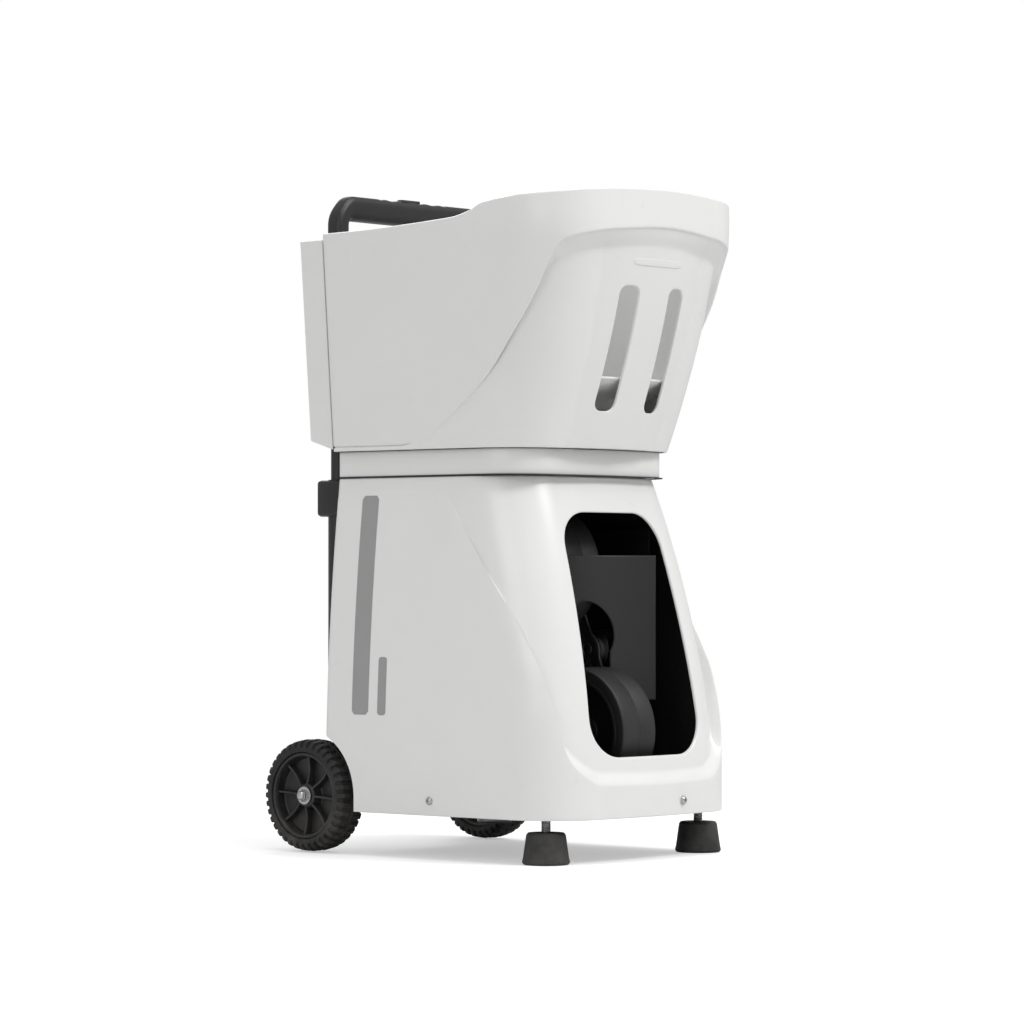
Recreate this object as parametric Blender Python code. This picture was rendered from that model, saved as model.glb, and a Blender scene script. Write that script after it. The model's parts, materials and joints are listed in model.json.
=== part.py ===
"""Tennis ball machine on a two-wheel trolley, built as an assembly of separate pieces.

+Z is up, the ball outlet faces -Y and the trolley wheels are at +Y. All sizes are in metres.
The origin lies on the floor, under the middle of the machine.
"""
import math

import bmesh
import bpy
from mathutils import Matrix, Vector

# ---- driving dimensions ----
GAP = 0.0003                 # clearance between pieces that touch
WALL = 0.003                 # moulded shells

RIM_CORNER_DEPTH = 0.350     # hopper rim: rear wall to the front, at the corners
RIM_BULGE = 0.006            # how far the rim bows out at its middle
AXLE_BEHIND = 0.024          # trolley axle behind the rear wall
TYRE_RADIUS = 0.061
REAR_Y = (RIM_CORNER_DEPTH + RIM_BULGE - AXLE_BEHIND - TYRE_RADIUS) / 2

HOUSING_BOTTOM = 0.046
HOUSING_TOP = 0.402
HOUSING_HALF_WIDTH = 0.1555
HOUSING_TAPER = 0.022        # half-width lost from the bottom to the top
HOUSING_SKIRT_DEPTH = 0.336
HOUSING_FACE_DEPTH = 0.330
HOUSING_FACE_LEAN = 0.074    # how far the outlet face leans back
HOUSING_CORNER = 0.065
HOUSING_BULGE = 0.005

COLLAR_BOTTOM = 0.406
COLLAR_TOP = 0.4317
COLLAR_HALF_WIDTH = 0.1335
COLLAR_DEPTH = 0.262

HOPPER_BOTTOM = 0.432
HOPPER_HALF_WIDTH_LOW = 0.1428
HOPPER_HALF_WIDTH_HIGH = 0.160
RIM_REAR_Z = 0.666
RIM_FRONT_Z = 0.7015
VISOR_Z = 0.661              # lower edge of the rim band at the front
HOPPER_FACE_BULGE = 0.012
HOPPER_CORNER_OUTER = 0.080
HOPPER_CORNER_FACE = 0.070

WINDOW_TOP = 0.365
WINDOW_BOTTOM = 0.109
WINDOW_HALF_TOP = 0.078
WINDOW_HALF_BOTTOM = 0.092
WINDOW_CORNER = 0.040

SLOT_X = 0.038
SLOT_WIDTH = 0.030
SLOT_BOTTOM = 0.468
SLOT_TOP = 0.603

AXLE_Y = REAR_Y + AXLE_BEHIND
AXLE_Z = TYRE_RADIUS
AXLE_RADIUS = 0.006
WHEEL_INNER_X = 0.122
WHEEL_OUTER_X = 0.162
ARCH_RADIUS = 0.071

FOOT_X = 0.1263
FOOT_Y = REAR_Y - 0.2927
FOOT_HEIGHT = 0.033

TUBE_X = 0.1129
TUBE_Y = REAR_Y + 0.016
HANDLE_TOP = 0.712
INNER_TUBE_BOTTOM = 0.145
INNER_TUBE_TOP = 0.6397

YAW_Y = 0.0245
LOWER_AXIS = (-0.1115, 0.133)         # y, z of the lower throwing wheel
THROW_ANGLE = math.radians(24)        # launch elevation with the head level
THROW_RADIUS = 0.068
THROW_GAP = 0.052                     # nip between the two throwing wheels
THROW_HALF_WIDTH = 0.027
CHUTE_Y = 0.0905
CHUTE_RADIUS = 0.0355
CAROUSEL_RADIUS = 0.108
POCKET_CIRCLE = 0.070
POCKET_RADIUS = 0.035
POCKETS = 5

SPACING = 2 * THROW_RADIUS + THROW_GAP
UPPER_AXIS = (LOWER_AXIS[0] + SPACING * math.sin(THROW_ANGLE),
              LOWER_AXIS[1] + SPACING * math.cos(THROW_ANGLE))
PITCH_AXIS = ((LOWER_AXIS[0] + UPPER_AXIS[0]) / 2, (LOWER_AXIS[1] + UPPER_AXIS[1]) / 2)
CAROUSEL_Y = CHUTE_Y - POCKET_CIRCLE
CHEEK_INNER_X = 0.040
CHEEK_OUTER_X = 0.043
ARM_INNER_X = 0.046
ARM_OUTER_X = 0.050

# stations round half of a plan outline: -2 rear middle, -1..0 rear corner, 0..1 side,
# 1..2 front corner, 3 front middle
STATIONS = (-2, -1, -0.5, 0, 0.25, 0.5, 0.7, 0.85, 1, 1.15, 1.3, 1.45, 1.6, 1.8, 2, 2.5, 3)
REAR_CORNER = 0.010

MATERIALS = {
    "white_abs": ((0.80, 0.80, 0.79), 0.35, 0.0),
    "black_plastic": ((0.030, 0.030, 0.032), 0.45, 0.0),
    "grey_plastic": ((0.090, 0.090, 0.095), 0.5, 0.0),
    "black_rubber": ((0.022, 0.022, 0.022), 0.8, 0.0),
    "steel": ((0.62, 0.62, 0.62), 0.3, 1.0),
    "circuit_green": ((0.02, 0.16, 0.06), 0.5, 0.0),
}


# ---- mesh helpers ----
def get_material(name):
    """A Principled material made once from the table above."""
    material = bpy.data.materials.get(name)
    if material is None:
        colour, roughness, metallic = MATERIALS[name]
        material = bpy.data.materials.new(name)
        material.use_nodes = True
        shader = material.node_tree.nodes["Principled BSDF"]
        shader.inputs["Base Color"].default_value = (*colour, 1)
        shader.inputs["Roughness"].default_value = roughness
        shader.inputs["Metallic"].default_value = metallic
    return material


def add_object(name, bm, material, pivot=(0, 0, 0), parent=None):
    """Turn a bmesh in world coordinates into an object whose origin is at pivot."""
    bmesh.ops.recalc_face_normals(bm, faces=bm.faces)
    bm.transform(Matrix.Translation(-Vector(pivot)))
    mesh = bpy.data.meshes.new(name)
    bm.to_mesh(mesh)
    bm.free()
    mesh.materials.append(get_material(material))
    mesh.shade_smooth()
    mesh.set_sharp_from_angle(angle=math.radians(35))
    piece = bpy.data.objects.new(name, mesh)
    bpy.context.collection.objects.link(piece)
    piece.location = pivot
    if parent is not None:
        piece.parent = parent
        piece.location = Vector(pivot) - world_location(parent)
    return piece


def world_location(piece):
    """Location of an unrotated object in the world, up its chain of parents."""
    place = Vector(piece.location)
    while piece.parent is not None:
        piece = piece.parent
        place += piece.location
    return place


def add_axis(name, location, parent=None):
    """An empty on a joint's axis, which carries the pieces that move with it."""
    empty = bpy.data.objects.new(name, None)
    bpy.context.collection.objects.link(empty)
    empty.location = location
    if parent is not None:
        empty.parent = parent
        empty.location = Vector(location) - world_location(parent)
    return empty


def carve(piece, cutters, operation="DIFFERENCE"):
    """Cut (or join) a list of bmeshes in world coordinates into the piece, for good."""
    for cutter_bm in cutters:
        bmesh.ops.recalc_face_normals(cutter_bm, faces=cutter_bm.faces)
        cutter_mesh = bpy.data.meshes.new("cutter")
        cutter_bm.to_mesh(cutter_mesh)
        cutter_bm.free()
        cutter = bpy.data.objects.new("cutter", cutter_mesh)
        bpy.context.collection.objects.link(cutter)
        boolean = piece.modifiers.new("boolean", "BOOLEAN")
        boolean.operation = operation
        boolean.object = cutter
        bpy.context.view_layer.update()
        graph = bpy.context.evaluated_depsgraph_get()
        result = bpy.data.meshes.new_from_object(piece.evaluated_get(graph))
        piece.modifiers.remove(boolean)
        piece.data = result
        bpy.data.objects.remove(cutter)
        bpy.data.meshes.remove(cutter_mesh)
    return piece


def skin_rings(rings, close_ends=False, close_loop=False):
    """Skin a list of rings of equal length; caps on the ends, or the last ring to the first."""
    bm = bmesh.new()
    rows = [[bm.verts.new(point) for point in ring] for ring in rings]
    count = len(rows[0])
    pairs = list(zip(rows[:-1], rows[1:]))
    if close_loop:
        pairs.append((rows[-1], rows[0]))
    for low, high in pairs:
        for i in range(count):
            j = (i + 1) % count
            bm.faces.new((low[i], low[j], high[j], high[i]))
    if close_ends:
        bm.faces.new(rows[0][::-1])
        bm.faces.new(rows[-1])
    return bm


def oriented(axis, a, b, c):
    """Point with c along the axis and a, b across it."""
    return {"X": (c, a, b), "Y": (a, c, b), "Z": (a, b, c)}[axis]


def prism(points, axis, start, end):
    """A flat outline (pairs across the axis) extruded along the axis."""
    rings = [[oriented(axis, a, b, c) for a, b in points] for c in (start, end)]
    return skin_rings(rings, close_ends=True)


def tube(outer, inner, axis, start, end):
    """A hollow prism between two outlines with the same number of points."""
    spec = ((outer, start), (outer, end), (inner, end), (inner, start))
    rings = [[oriented(axis, a, b, c) for a, b in points] for points, c in spec]
    return skin_rings(rings, close_loop=True)


def turned(profile, axis, centre, segments=32, closed=False):
    """Turn a profile of (radius, place along the axis) pairs about an axis through centre.

    A closed profile makes a ring; an open one is capped flat at both ends.
    """
    rings = []
    for radius, along in profile:
        circle_points = circle(centre, radius, segments)
        rings.append([oriented(axis, a, b, along) for a, b in circle_points])
    return skin_rings(rings, close_ends=not closed, close_loop=closed)


def circle(centre, radius, segments, phase=0.0):
    """Points on a circle."""
    points = []
    for i in range(segments):
        angle = phase + 2 * math.pi * i / segments
        points.append((centre[0] + radius * math.cos(angle), centre[1] + radius * math.sin(angle)))
    return points


def rounded_polygon(corners, radius, steps=5):
    """A convex outline with each corner replaced by an arc."""
    points = []
    count = len(corners)
    for i in range(count):
        corner = Vector(corners[i])
        before = (Vector(corners[i - 1]) - corner).normalized()
        after = (Vector(corners[(i + 1) % count]) - corner).normalized()
        half = before.angle(after) / 2
        centre = corner + (before + after).normalized() * radius / math.sin(half)
        first = corner + before * radius / math.tan(half) - centre
        last = corner + after * radius / math.tan(half) - centre
        sweep = math.pi - 2 * half
        turn = 1 if first.x * last.y - first.y * last.x > 0 else -1
        for step in range(steps + 1):
            angle = turn * sweep * step / steps
            c, s = math.cos(angle), math.sin(angle)
            points.append((centre.x + first.x * c - first.y * s, centre.y + first.x * s + first.y * c))
    return points


def rounded_rectangle(left, right, low, high, radius, steps=4):
    """Axis-aligned rectangle with round corners."""
    return rounded_polygon([(left, low), (right, low), (right, high), (left, high)], radius, steps)


def box(low, high, bevel=0.0, segments=2):
    """A box between two corners, with its edges bevelled."""
    bm = bmesh.new()
    bmesh.ops.create_cube(bm, size=1)
    low, high = Vector(low), Vector(high)
    size = high - low
    bm.transform(Matrix.Translation((low + high) / 2) @ Matrix.Diagonal((*size, 1)))
    if bevel:
        bmesh.ops.bevel(bm, geom=bm.edges[:], offset=bevel, segments=segments,
                        affect="EDGES", profile=0.5)
    return bm


def ordered(side, inner, outer):
    """X limits of a piece between inner and outer on one side, low value first."""
    return tuple(sorted((side * inner, side * outer)))


# ---- plan sections of the two shells ----
def blend(knots, value):
    """Smooth curve through (station, value) knots: cubic Hermite with limited slopes."""
    xs = [knot[0] for knot in knots]
    ys = [knot[1] for knot in knots]
    if value <= xs[0]:
        return ys[0]
    if value >= xs[-1]:
        return ys[-1]
    i = max(k for k in range(len(xs) - 1) if xs[k] <= value)
    slopes = [(ys[k + 1] - ys[k]) / (xs[k + 1] - xs[k]) for k in range(len(xs) - 1)]

    def tangent(k):
        if k == 0 or k == len(xs) - 1 or slopes[k - 1] * slopes[k] <= 0:
            return 0.0
        return 2 * slopes[k - 1] * slopes[k] / (slopes[k - 1] + slopes[k])

    span = xs[i + 1] - xs[i]
    t = (value - xs[i]) / span
    h00 = (1 + 2 * t) * (1 - t) ** 2
    h10 = t * (1 - t) ** 2
    h01 = t * t * (3 - 2 * t)
    h11 = t * t * (t - 1)
    return h00 * ys[i] + h10 * span * tangent(i) + h01 * ys[i + 1] + h11 * span * tangent(i + 1)


def plan_point(station, half_width, depth, corner, bulge, inset=0.0):
    """Point on the right half of a plan outline at a station, moved inwards by inset."""
    half_width -= inset
    depth -= inset
    corner -= inset
    rear = REAR_Y - inset
    rear_corner = max(REAR_CORNER - inset, 0.002)
    front = REAR_Y - depth
    if station <= -1:
        return (half_width - rear_corner) * (station + 2), rear
    if station <= 0:
        angle = (1 + station) * math.pi / 2
        return (half_width - rear_corner + rear_corner * math.sin(angle),
                rear - rear_corner + rear_corner * math.cos(angle))
    if station <= 1:
        start = rear - rear_corner
        end = front + corner
        return half_width, start + (end - start) * station
    if station <= 2:
        angle = (station - 1) * math.pi / 2
        return (half_width - corner + corner * math.cos(angle),
                front + corner - corner * math.sin(angle))
    t = station - 2
    return (half_width - corner) * (1 - t), front - bulge * (1 - (1 - t) ** 2)


def full_ring(half_ring):
    """Close a half outline (rear middle to front middle) with its mirror image."""
    left = [(-x, y, z) for x, y, z in half_ring[-2:0:-1]]
    return half_ring + left


def plan_outline(half_width, depth, corner, bulge, inset=0.0):
    """Whole plan outline as pairs of x and y."""
    half = [(*plan_point(s, half_width, depth, corner, bulge, inset), 0.0) for s in STATIONS]
    return [(x, y) for x, y, _ in full_ring(half)]


def housing_share(z):
    """0 at the bottom of the lower housing, 1 at its top."""
    return (z - HOUSING_BOTTOM) / (HOUSING_TOP - HOUSING_BOTTOM)


def housing_half_width(z):
    return HOUSING_HALF_WIDTH - HOUSING_TAPER * max(housing_share(z), 0) ** 2


def housing_skirt(station, z):
    """Outer surface: side panels and skirt."""
    knots = ((0.13, HOUSING_SKIRT_DEPTH), (0.19, 0.330), (0.236, 0.316), (0.273, 0.302),
             (0.313, 0.290), (HOUSING_TOP, 0.262))
    return plan_point(station, housing_half_width(z), blend(knots, z), HOUSING_CORNER, HOUSING_BULGE)


def housing_face(station, z, inset=0.0):
    """Recessed surface round the ball outlet."""
    share = max(housing_share(z), 0)
    half_width = housing_half_width(z) - 0.006 * (1 - share)
    depth = HOUSING_FACE_DEPTH - HOUSING_FACE_LEAN * share ** 1.75
    return plan_point(station, half_width, depth, HOUSING_CORNER, HOUSING_BULGE, inset)


def housing_crease(station):
    """Height of the crease where the recessed face meets the side panels and the chin."""
    knots = ((0.8, 0.385), (0.905, 0.348), (0.986, 0.3136), (1.18, 0.273), (1.295, 0.236),
             (1.42, 0.190), (1.62, 0.122), (1.84, 0.102), (2, 0.095), (3, 0.093))
    return blend(knots, station)


def housing_chamfer(station):
    """Height of the sloping band under the crease."""
    return blend(((0.8, 0.004), (1.7, 0.014)), station)


def hopper_half_width(z):
    share = (z - HOPPER_BOTTOM) / (RIM_REAR_Z - HOPPER_BOTTOM)
    return HOPPER_HALF_WIDTH_LOW + (HOPPER_HALF_WIDTH_HIGH - HOPPER_HALF_WIDTH_LOW) * min(share, 1)


def hopper_panel(station, z):
    """Outer surface: side panels and rim band."""
    depth = RIM_CORNER_DEPTH - 0.12 * max(0.650 - z, 0)
    return plan_point(station, hopper_half_width(z), depth, HOPPER_CORNER_OUTER, RIM_BULGE)


def hopper_face(station, z, inset=0.0):
    """Recessed front surface under the rim band."""
    share = min(max((z - HOPPER_BOTTOM) / 0.225, 0), 1)
    half_width = hopper_half_width(z) - 0.008 * share
    depth = 0.273 + 0.060 * (1 - (1 - share) ** 1.5)
    return plan_point(station, half_width, depth, HOPPER_CORNER_FACE, HOPPER_FACE_BULGE, inset)


def hopper_edge(station):
    """Height of the lower edge of the side panel and rim band."""
    knots = ((0.4, 0.437), (0.523, 0.441), (0.733, 0.4715), (0.924, 0.5115), (1.148, 0.5636),
             (1.306, 0.600), (1.384, 0.626), (1.504, 0.643), (1.77, 0.652), (2, 0.656), (3, VISOR_Z))
    return blend(knots, station)


def hopper_fillet(station):
    """Height of the sloping band under that edge."""
    return blend(((0.4, 0.002), (1.3, 0.022), (2, 0.018)), station)


def hopper_rim(station):
    """Height of the rim, low at the rear and stepped up towards the front."""
    knots = ((0, RIM_REAR_Z), (0.687, 0.6726), (0.798, 0.679), (0.862, 0.686), (1.5, 0.694),
             (2, 0.699), (3, RIM_FRONT_Z))
    return blend(knots, station)


def shell_from_rows(outer_rows, inner_rows):
    """Closed shell from rows of half outlines: up the outside, down the inside."""
    rings = [full_ring(row) for row in outer_rows + inner_rows[::-1]]
    return skin_rings(rings, close_loop=True)


# ---- stationary pieces ----
def build_lower_housing():
    """White lower shell with the ball window, the rear opening and the wheel arches."""
    outer = []
    for share in (0, 0.5, 1):
        row = []
        for s in STATIONS:
            z = HOUSING_BOTTOM + (housing_crease(s) - housing_chamfer(s) - HOUSING_BOTTOM) * share
            row.append((*housing_skirt(s, z), z))
        outer.append(row)
    for share in (0, 0.25, 0.5, 0.75, 1):
        row = []
        for s in STATIONS:
            z = housing_crease(s) + (HOUSING_TOP - housing_crease(s)) * share
            row.append((*housing_face(s, z), z))
        outer.append(row)
    inner = []
    for z in (HOUSING_BOTTOM, 0.12, 0.20, 0.28, 0.34, HOUSING_TOP):
        inner.append([(*housing_face(s, z, WALL), z) for s in STATIONS])
    housing = add_object("lower_housing", shell_from_rows(outer, inner), "white_abs")
    window = rounded_polygon([(-WINDOW_HALF_BOTTOM, WINDOW_BOTTOM), (WINDOW_HALF_BOTTOM, WINDOW_BOTTOM),
                              (WINDOW_HALF_TOP, WINDOW_TOP), (-WINDOW_HALF_TOP, WINDOW_TOP)],
                             WINDOW_CORNER, 6)
    rear_opening = rounded_rectangle(-0.080, 0.080, 0.062, 0.285, 0.008)
    arches = []
    for side in (-1, 1):
        left, right = ordered(side, 0.1165, 0.20)
        arches.append(prism(circle((AXLE_Y, AXLE_Z), ARCH_RADIUS, 40), "X", left, right))
    return carve(housing, [prism(window, "Y", -0.26, -0.07),
                           prism(rear_opening, "Y", 0.10, 0.16), *arches])


def build_base_tray():
    """Black chassis tray: floor, upstand, battery plinth, holes for the feet and the yaw motor."""
    top = 0.070
    floor = 0.050
    outline = [housing_face(s, HOUSING_BOTTOM, WALL + 0.0045) for s in STATIONS]
    outer = [(x, y) for x, y, _ in full_ring([(x, y, 0) for x, y in outline])]
    pocket_half = [housing_face(s, HOUSING_BOTTOM, WALL + 0.0075) for s in STATIONS]
    pocket = [(x, y) for x, y, _ in full_ring([(x, y, 0) for x, y in pocket_half])]
    tray = add_object("base_tray", prism(outer, "Z", HOUSING_BOTTOM, top), "black_plastic")
    cutters = [prism(pocket, "Z", floor, top + 0.01),
               turned([(0.0193, 0.03), (0.0193, 0.08)], "Z", (0, YAW_Y), 32)]
    for side in (-1, 1):
        left, right = ordered(side, 0.112, 0.20)
        cutters.append(box((left, 0.084, 0.03), (right, 0.20, 0.09)))
        cutters.append(turned([(0.0053, 0.03), (0.0053, 0.08)], "Z", (side * FOOT_X, FOOT_Y), 20))
    carve(tray, cutters)
    plinth = box((-0.066, 0.086, 0.048), (0.066, 0.1235, top))
    return carve(tray, [plinth], "UNION")


def build_rear_panel():
    """Dark panel over the rear opening, with places for the door, switch, socket and buttons."""
    outline = rounded_rectangle(-0.084, 0.084, 0.0565, 0.292, 0.006)
    panel = add_object("rear_panel", prism(outline, "Y", REAR_Y + GAP, REAR_Y + 0.0033), "grey_plastic")
    cutters = [prism(rounded_rectangle(-0.070, 0.070, 0.0705, 0.150, 0.003), "Y", 0.12, 0.15),
               prism(rounded_rectangle(-0.0655, -0.0445, 0.2195, 0.2505, 0.002), "Y", 0.12, 0.15),
               turned([(0.0113, 0.12), (0.0113, 0.15)], "Y", (0.055, 0.235), 28)]
    for x in (-0.012, 0.015):
        cutters.append(turned([(0.0058, 0.12), (0.0058, 0.15)], "Y", (x, 0.235), 20))
    return carve(panel, cutters)


def build_battery():
    add_object("battery_pack", box((-0.066, 0.086, 0.0705), (0.066, 0.1300, 0.147), 0.003),
               "black_plastic")


def build_charge_socket():
    """Round socket with a blind hole and a centre pin left out."""
    y = REAR_Y
    profile = [(0.0110, y - 0.012), (0.0110, y + 0.0036), (0.0125, y + 0.0036), (0.0125, y + 0.0056),
               (0.0070, y + 0.0056), (0.0070, y - 0.008)]
    add_object("charge_socket", turned(profile, "Y", (0.055, 0.235), 24), "black_plastic")


def build_control_board():
    add_object("control_board", box((-0.1366, -0.040, 0.160), (-0.1350, 0.050, 0.260)),
               "circuit_green")


def build_seam():
    """Thin gasket between the lower housing and the hopper collar."""
    low, high = HOUSING_TOP + GAP, COLLAR_BOTTOM - GAP
    outer = plan_outline(COLLAR_HALF_WIDTH + 0.0015, COLLAR_DEPTH + 0.004, 0.056, HOUSING_BULGE)
    inner = plan_outline(COLLAR_HALF_WIDTH + 0.0015, COLLAR_DEPTH + 0.004, 0.056, HOUSING_BULGE, 0.0045)
    add_object("seam_gasket", tube(outer, inner, "Z", low, high), "black_rubber")


def build_collar():
    """White neck ring that the hopper stands on."""
    size = (COLLAR_HALF_WIDTH, COLLAR_DEPTH, 0.055, HOUSING_BULGE)
    ring = tube(plan_outline(*size), plan_outline(*size, WALL), "Z", COLLAR_BOTTOM, COLLAR_TOP)
    add_object("hopper_collar", ring, "white_abs")


def build_hopper():
    """White hopper shell with the rim band, the stepped rim and the two sight slots."""
    outer = []
    for share in (0, 0.33, 0.67, 1):
        row = []
        for s in STATIONS:
            top = hopper_edge(s) - hopper_fillet(s)
            z = HOPPER_BOTTOM + (top - HOPPER_BOTTOM) * share
            row.append((*hopper_face(s, z), z))
        outer.append(row)
    for share in (0, 0.5, 1):
        row = []
        for s in STATIONS:
            z = hopper_edge(s) + (hopper_rim(s) - hopper_edge(s)) * share
            row.append((*hopper_panel(s, z), z))
        outer.append(row)
    inner = []
    for share in (0, 0.25, 0.5, 0.75, 1):
        row = []
        for s in STATIONS:
            z = HOPPER_BOTTOM + (hopper_rim(s) - HOPPER_BOTTOM) * share
            row.append((*hopper_face(s, z, WALL), z))
        inner.append(row)
    hopper = add_object("hopper_shell", shell_from_rows(outer, inner), "white_abs")
    slots = []
    for side in (-1, 1):
        outline = rounded_rectangle(side * SLOT_X - SLOT_WIDTH / 2, side * SLOT_X + SLOT_WIDTH / 2,
                                    SLOT_BOTTOM, SLOT_TOP, 0.013)
        slots.append(prism(outline, "Y", -0.26, -0.07))
    return carve(hopper, slots)


def build_rear_cover():
    """Shallow white cover on the hopper's back, which the handle's tubes run through."""
    low, high = 0.4345, 0.660
    near, far = REAR_Y + GAP, REAR_Y + 0.033
    rows = []
    for z in (low, high):
        half = hopper_half_width(z) - 0.004
        drop = 0.010 if z == low else 0.0
        rows.append([(-half, near, z), (half, near, z), (half, far, z + drop), (-half, far, z + drop)])
    cover = add_object("hopper_rear_cover", skin_rings(rows, close_ends=True), "white_abs")
    inside = []
    for z in (low - 0.02, high - WALL):
        half = hopper_half_width(z) - 0.004 - WALL
        inside.append([(-half, near - 0.01, z), (half, near - 0.01, z),
                       (half, far - WALL, z), (-half, far - WALL, z)])
    cutters = [skin_rings(inside, close_ends=True)]
    for side in (-1, 1):
        left, right = ordered(side, TUBE_X - 0.0115, TUBE_X + 0.0115)
        cutters.append(box((left, TUBE_Y - 0.0125, 0.64), (right, TUBE_Y + 0.0125, 0.68)))
    return carve(cover, cutters)


def build_funnel():
    """Sloping ring from the hopper walls down to the edge of the carousel."""
    top_z, low_z, sheet = 0.505, 0.4665, 0.0022
    rings = []
    for lift, inset, radius in ((0, 0.001, 0.1107), (sheet, 0.001 + sheet, 0.1085)):
        outline = full_ring([(*hopper_face(s, top_z, WALL + inset), top_z) for s in STATIONS])
        wall_ring = [(x, y, z + lift) for x, y, z in outline]
        mouth = []
        for x, y, _ in outline:
            angle = math.atan2(y - CAROUSEL_Y, x)
            mouth.append((radius * math.cos(angle), CAROUSEL_Y + radius * math.sin(angle), low_z + lift))
        rings.append((wall_ring, mouth))
    (wall_low, mouth_low), (wall_high, mouth_high) = rings
    add_object("hopper_funnel", skin_rings([wall_low, wall_high, mouth_high, mouth_low], close_loop=True),
               "white_abs")


def build_feeder_deck():
    """Plate across the collar, with the drop hole over the chute."""
    outline = plan_outline(COLLAR_HALF_WIDTH, COLLAR_DEPTH, 0.055, HOUSING_BULGE, WALL + 0.0005)
    deck = add_object("feeder_deck", prism(outline, "Z", 0.4255, 0.4290), "black_plastic")
    return carve(deck, [turned([(0.037, 0.41), (0.037, 0.44)], "Z", (0, CHUTE_Y), 32),
                        turned([(0.004, 0.41), (0.004, 0.44)], "Z", (0, CAROUSEL_Y), 16)])


def build_feeder_motor():
    """Geared motor hanging under the deck, with its shaft up through it."""
    profile = [(0.0185, 0.387), (0.0185, 0.4252), (0.003, 0.4252), (0.003, 0.4317)]
    add_object("feeder_motor", turned(profile, "Z", (0, CAROUSEL_Y), 28), "steel")


def build_chute():
    """Straight tube that drops a ball from the deck to the trough."""
    centre = (0, CHUTE_Y)
    outer = circle(centre, CHUTE_RADIUS + 0.0025, 32)
    inner = circle(centre, CHUTE_RADIUS, 32)
    add_object("ball_chute", tube(outer, inner, "Z", 0.262, 0.4250), "black_plastic")


def build_liner(side, name):
    """Curved dark sheet inside the housing beside the throwing head."""
    outer, inner = [], []
    for i in range(9):
        t = i / 8
        x = 0.110 + 0.018 * math.sin(t * math.pi / 2)
        y = -0.104 + 0.134 * t
        outer.append((side * x, y))
        inner.append((side * (x - 0.002), y))
    outline = outer + inner[::-1]
    add_object(name, prism(outline, "Z", 0.165, 0.350), "grey_plastic")


def build_yaw_motor():
    """Motor can that hangs through the tray under the turntable."""
    profile = [(0.017, 0.030), (0.019, 0.032), (0.019, 0.0530)]
    add_object("yaw_motor", turned(profile, "Z", (0, YAW_Y), 32), "steel")


def build_axle():
    add_object("trolley_axle", turned([(AXLE_RADIUS, -0.1570), (AXLE_RADIUS, 0.1570)], "X",
                                      (AXLE_Y, AXLE_Z), 24), "steel")


def build_axle_bracket(side, name):
    """Block on the rear of the housing that holds the axle."""
    left, right = ordered(side, 0.086, 0.100)
    bracket = add_object(name, box((left, REAR_Y + GAP, 0.0475), (right, AXLE_Y + 0.013, 0.0780), 0.003),
                         "black_plastic")
    hole = turned([(AXLE_RADIUS + GAP, left - 0.01), (AXLE_RADIUS + GAP, right + 0.01)], "X",
                  (AXLE_Y, AXLE_Z), 24)
    return carve(bracket, [hole])


def build_axle_nut(side, name):
    """Washer and domed nut on the end of the axle."""
    profile = [(0.0095, 0.1573), (0.0095, 0.1588), (0.0062, 0.1588), (0.0062, 0.1630),
               (0.0045, 0.1652), (0.0018, 0.1662)]
    placed = [(r, side * x) for r, x in profile]
    add_object(name, turned(placed, "X", (AXLE_Y, AXLE_Z), 20), "steel")


def build_tube_block(side, name):
    """Block on the neck that clamps the top of the outer tube."""
    left, right = ordered(side, 0.0985, 0.1265)
    block = add_object(name, box((left, REAR_Y + GAP, 0.3625), (right, REAR_Y + 0.0365, 0.4020), 0.004),
                       "black_plastic")
    hole = turned([(0.0113, 0.35), (0.0113, 0.42)], "Z", (side * TUBE_X, TUBE_Y), 28)
    return carve(block, [hole])


def build_outer_tube(side, name):
    centre = (side * TUBE_X, TUBE_Y)
    add_object(name, tube(circle(centre, 0.011, 24), circle(centre, 0.0092, 24), "Z", 0.136, 0.4025),
               "black_plastic")


def build_screws():
    """Button-head screws that hold the housing to the tray: one each side and one in front."""
    head = [(0.0045, 0.0), (0.0045, 0.0008), (0.0036, 0.0022), (0.0018, 0.0029)]
    for side, name in ((-1, "housing_screw_left"), (1, "housing_screw_right")):
        face = HOUSING_HALF_WIDTH + 0.0002
        placed = [(r, side * (face + h)) for r, h in head]
        add_object(name, turned(placed, "X", (-0.021, 0.0618), 20), "steel")
    face = -(HOUSING_SKIRT_DEPTH + HOUSING_BULGE - REAR_Y)
    placed = [(r, face - h) for r, h in head]
    add_object("housing_screw_front", turned(placed, "Y", (0.041, 0.0610), 20), "steel")


# ---- trolley wheels, feet and handle ----
def build_trolley_wheel(side, rim_name, tyre_name):
    """Moulded rim with a dished web and hub, and its tyre."""
    centre = (AXLE_Y, AXLE_Z)
    pivot = (side * 0.142, AXLE_Y, AXLE_Z)
    bore = AXLE_RADIUS + GAP
    rim = [(0.0467, 0.1260), (0.0467, 0.1585), (0.0430, 0.1585), (0.0430, 0.1460), (0.0130, 0.1440),
           (0.0110, 0.1565), (bore, 0.1565), (bore, 0.1225), (0.0130, 0.1225), (0.0130, 0.1390),
           (0.0430, 0.1400), (0.0430, 0.1260)]
    tyre = [(0.0470, 0.1235), (0.0470, 0.1605), (0.0530, 0.1620), (0.0580, 0.1600), (TYRE_RADIUS, 0.1550),
            (TYRE_RADIUS, 0.1290), (0.0580, 0.1240), (0.0530, WHEEL_INNER_X)]
    for name, profile, material in ((rim_name, rim, "black_plastic"), (tyre_name, tyre, "black_rubber")):
        placed = [(r, side * x) for r, x in profile]
        add_object(name, turned(placed, "X", centre, 36, closed=True), material, pivot)


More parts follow.
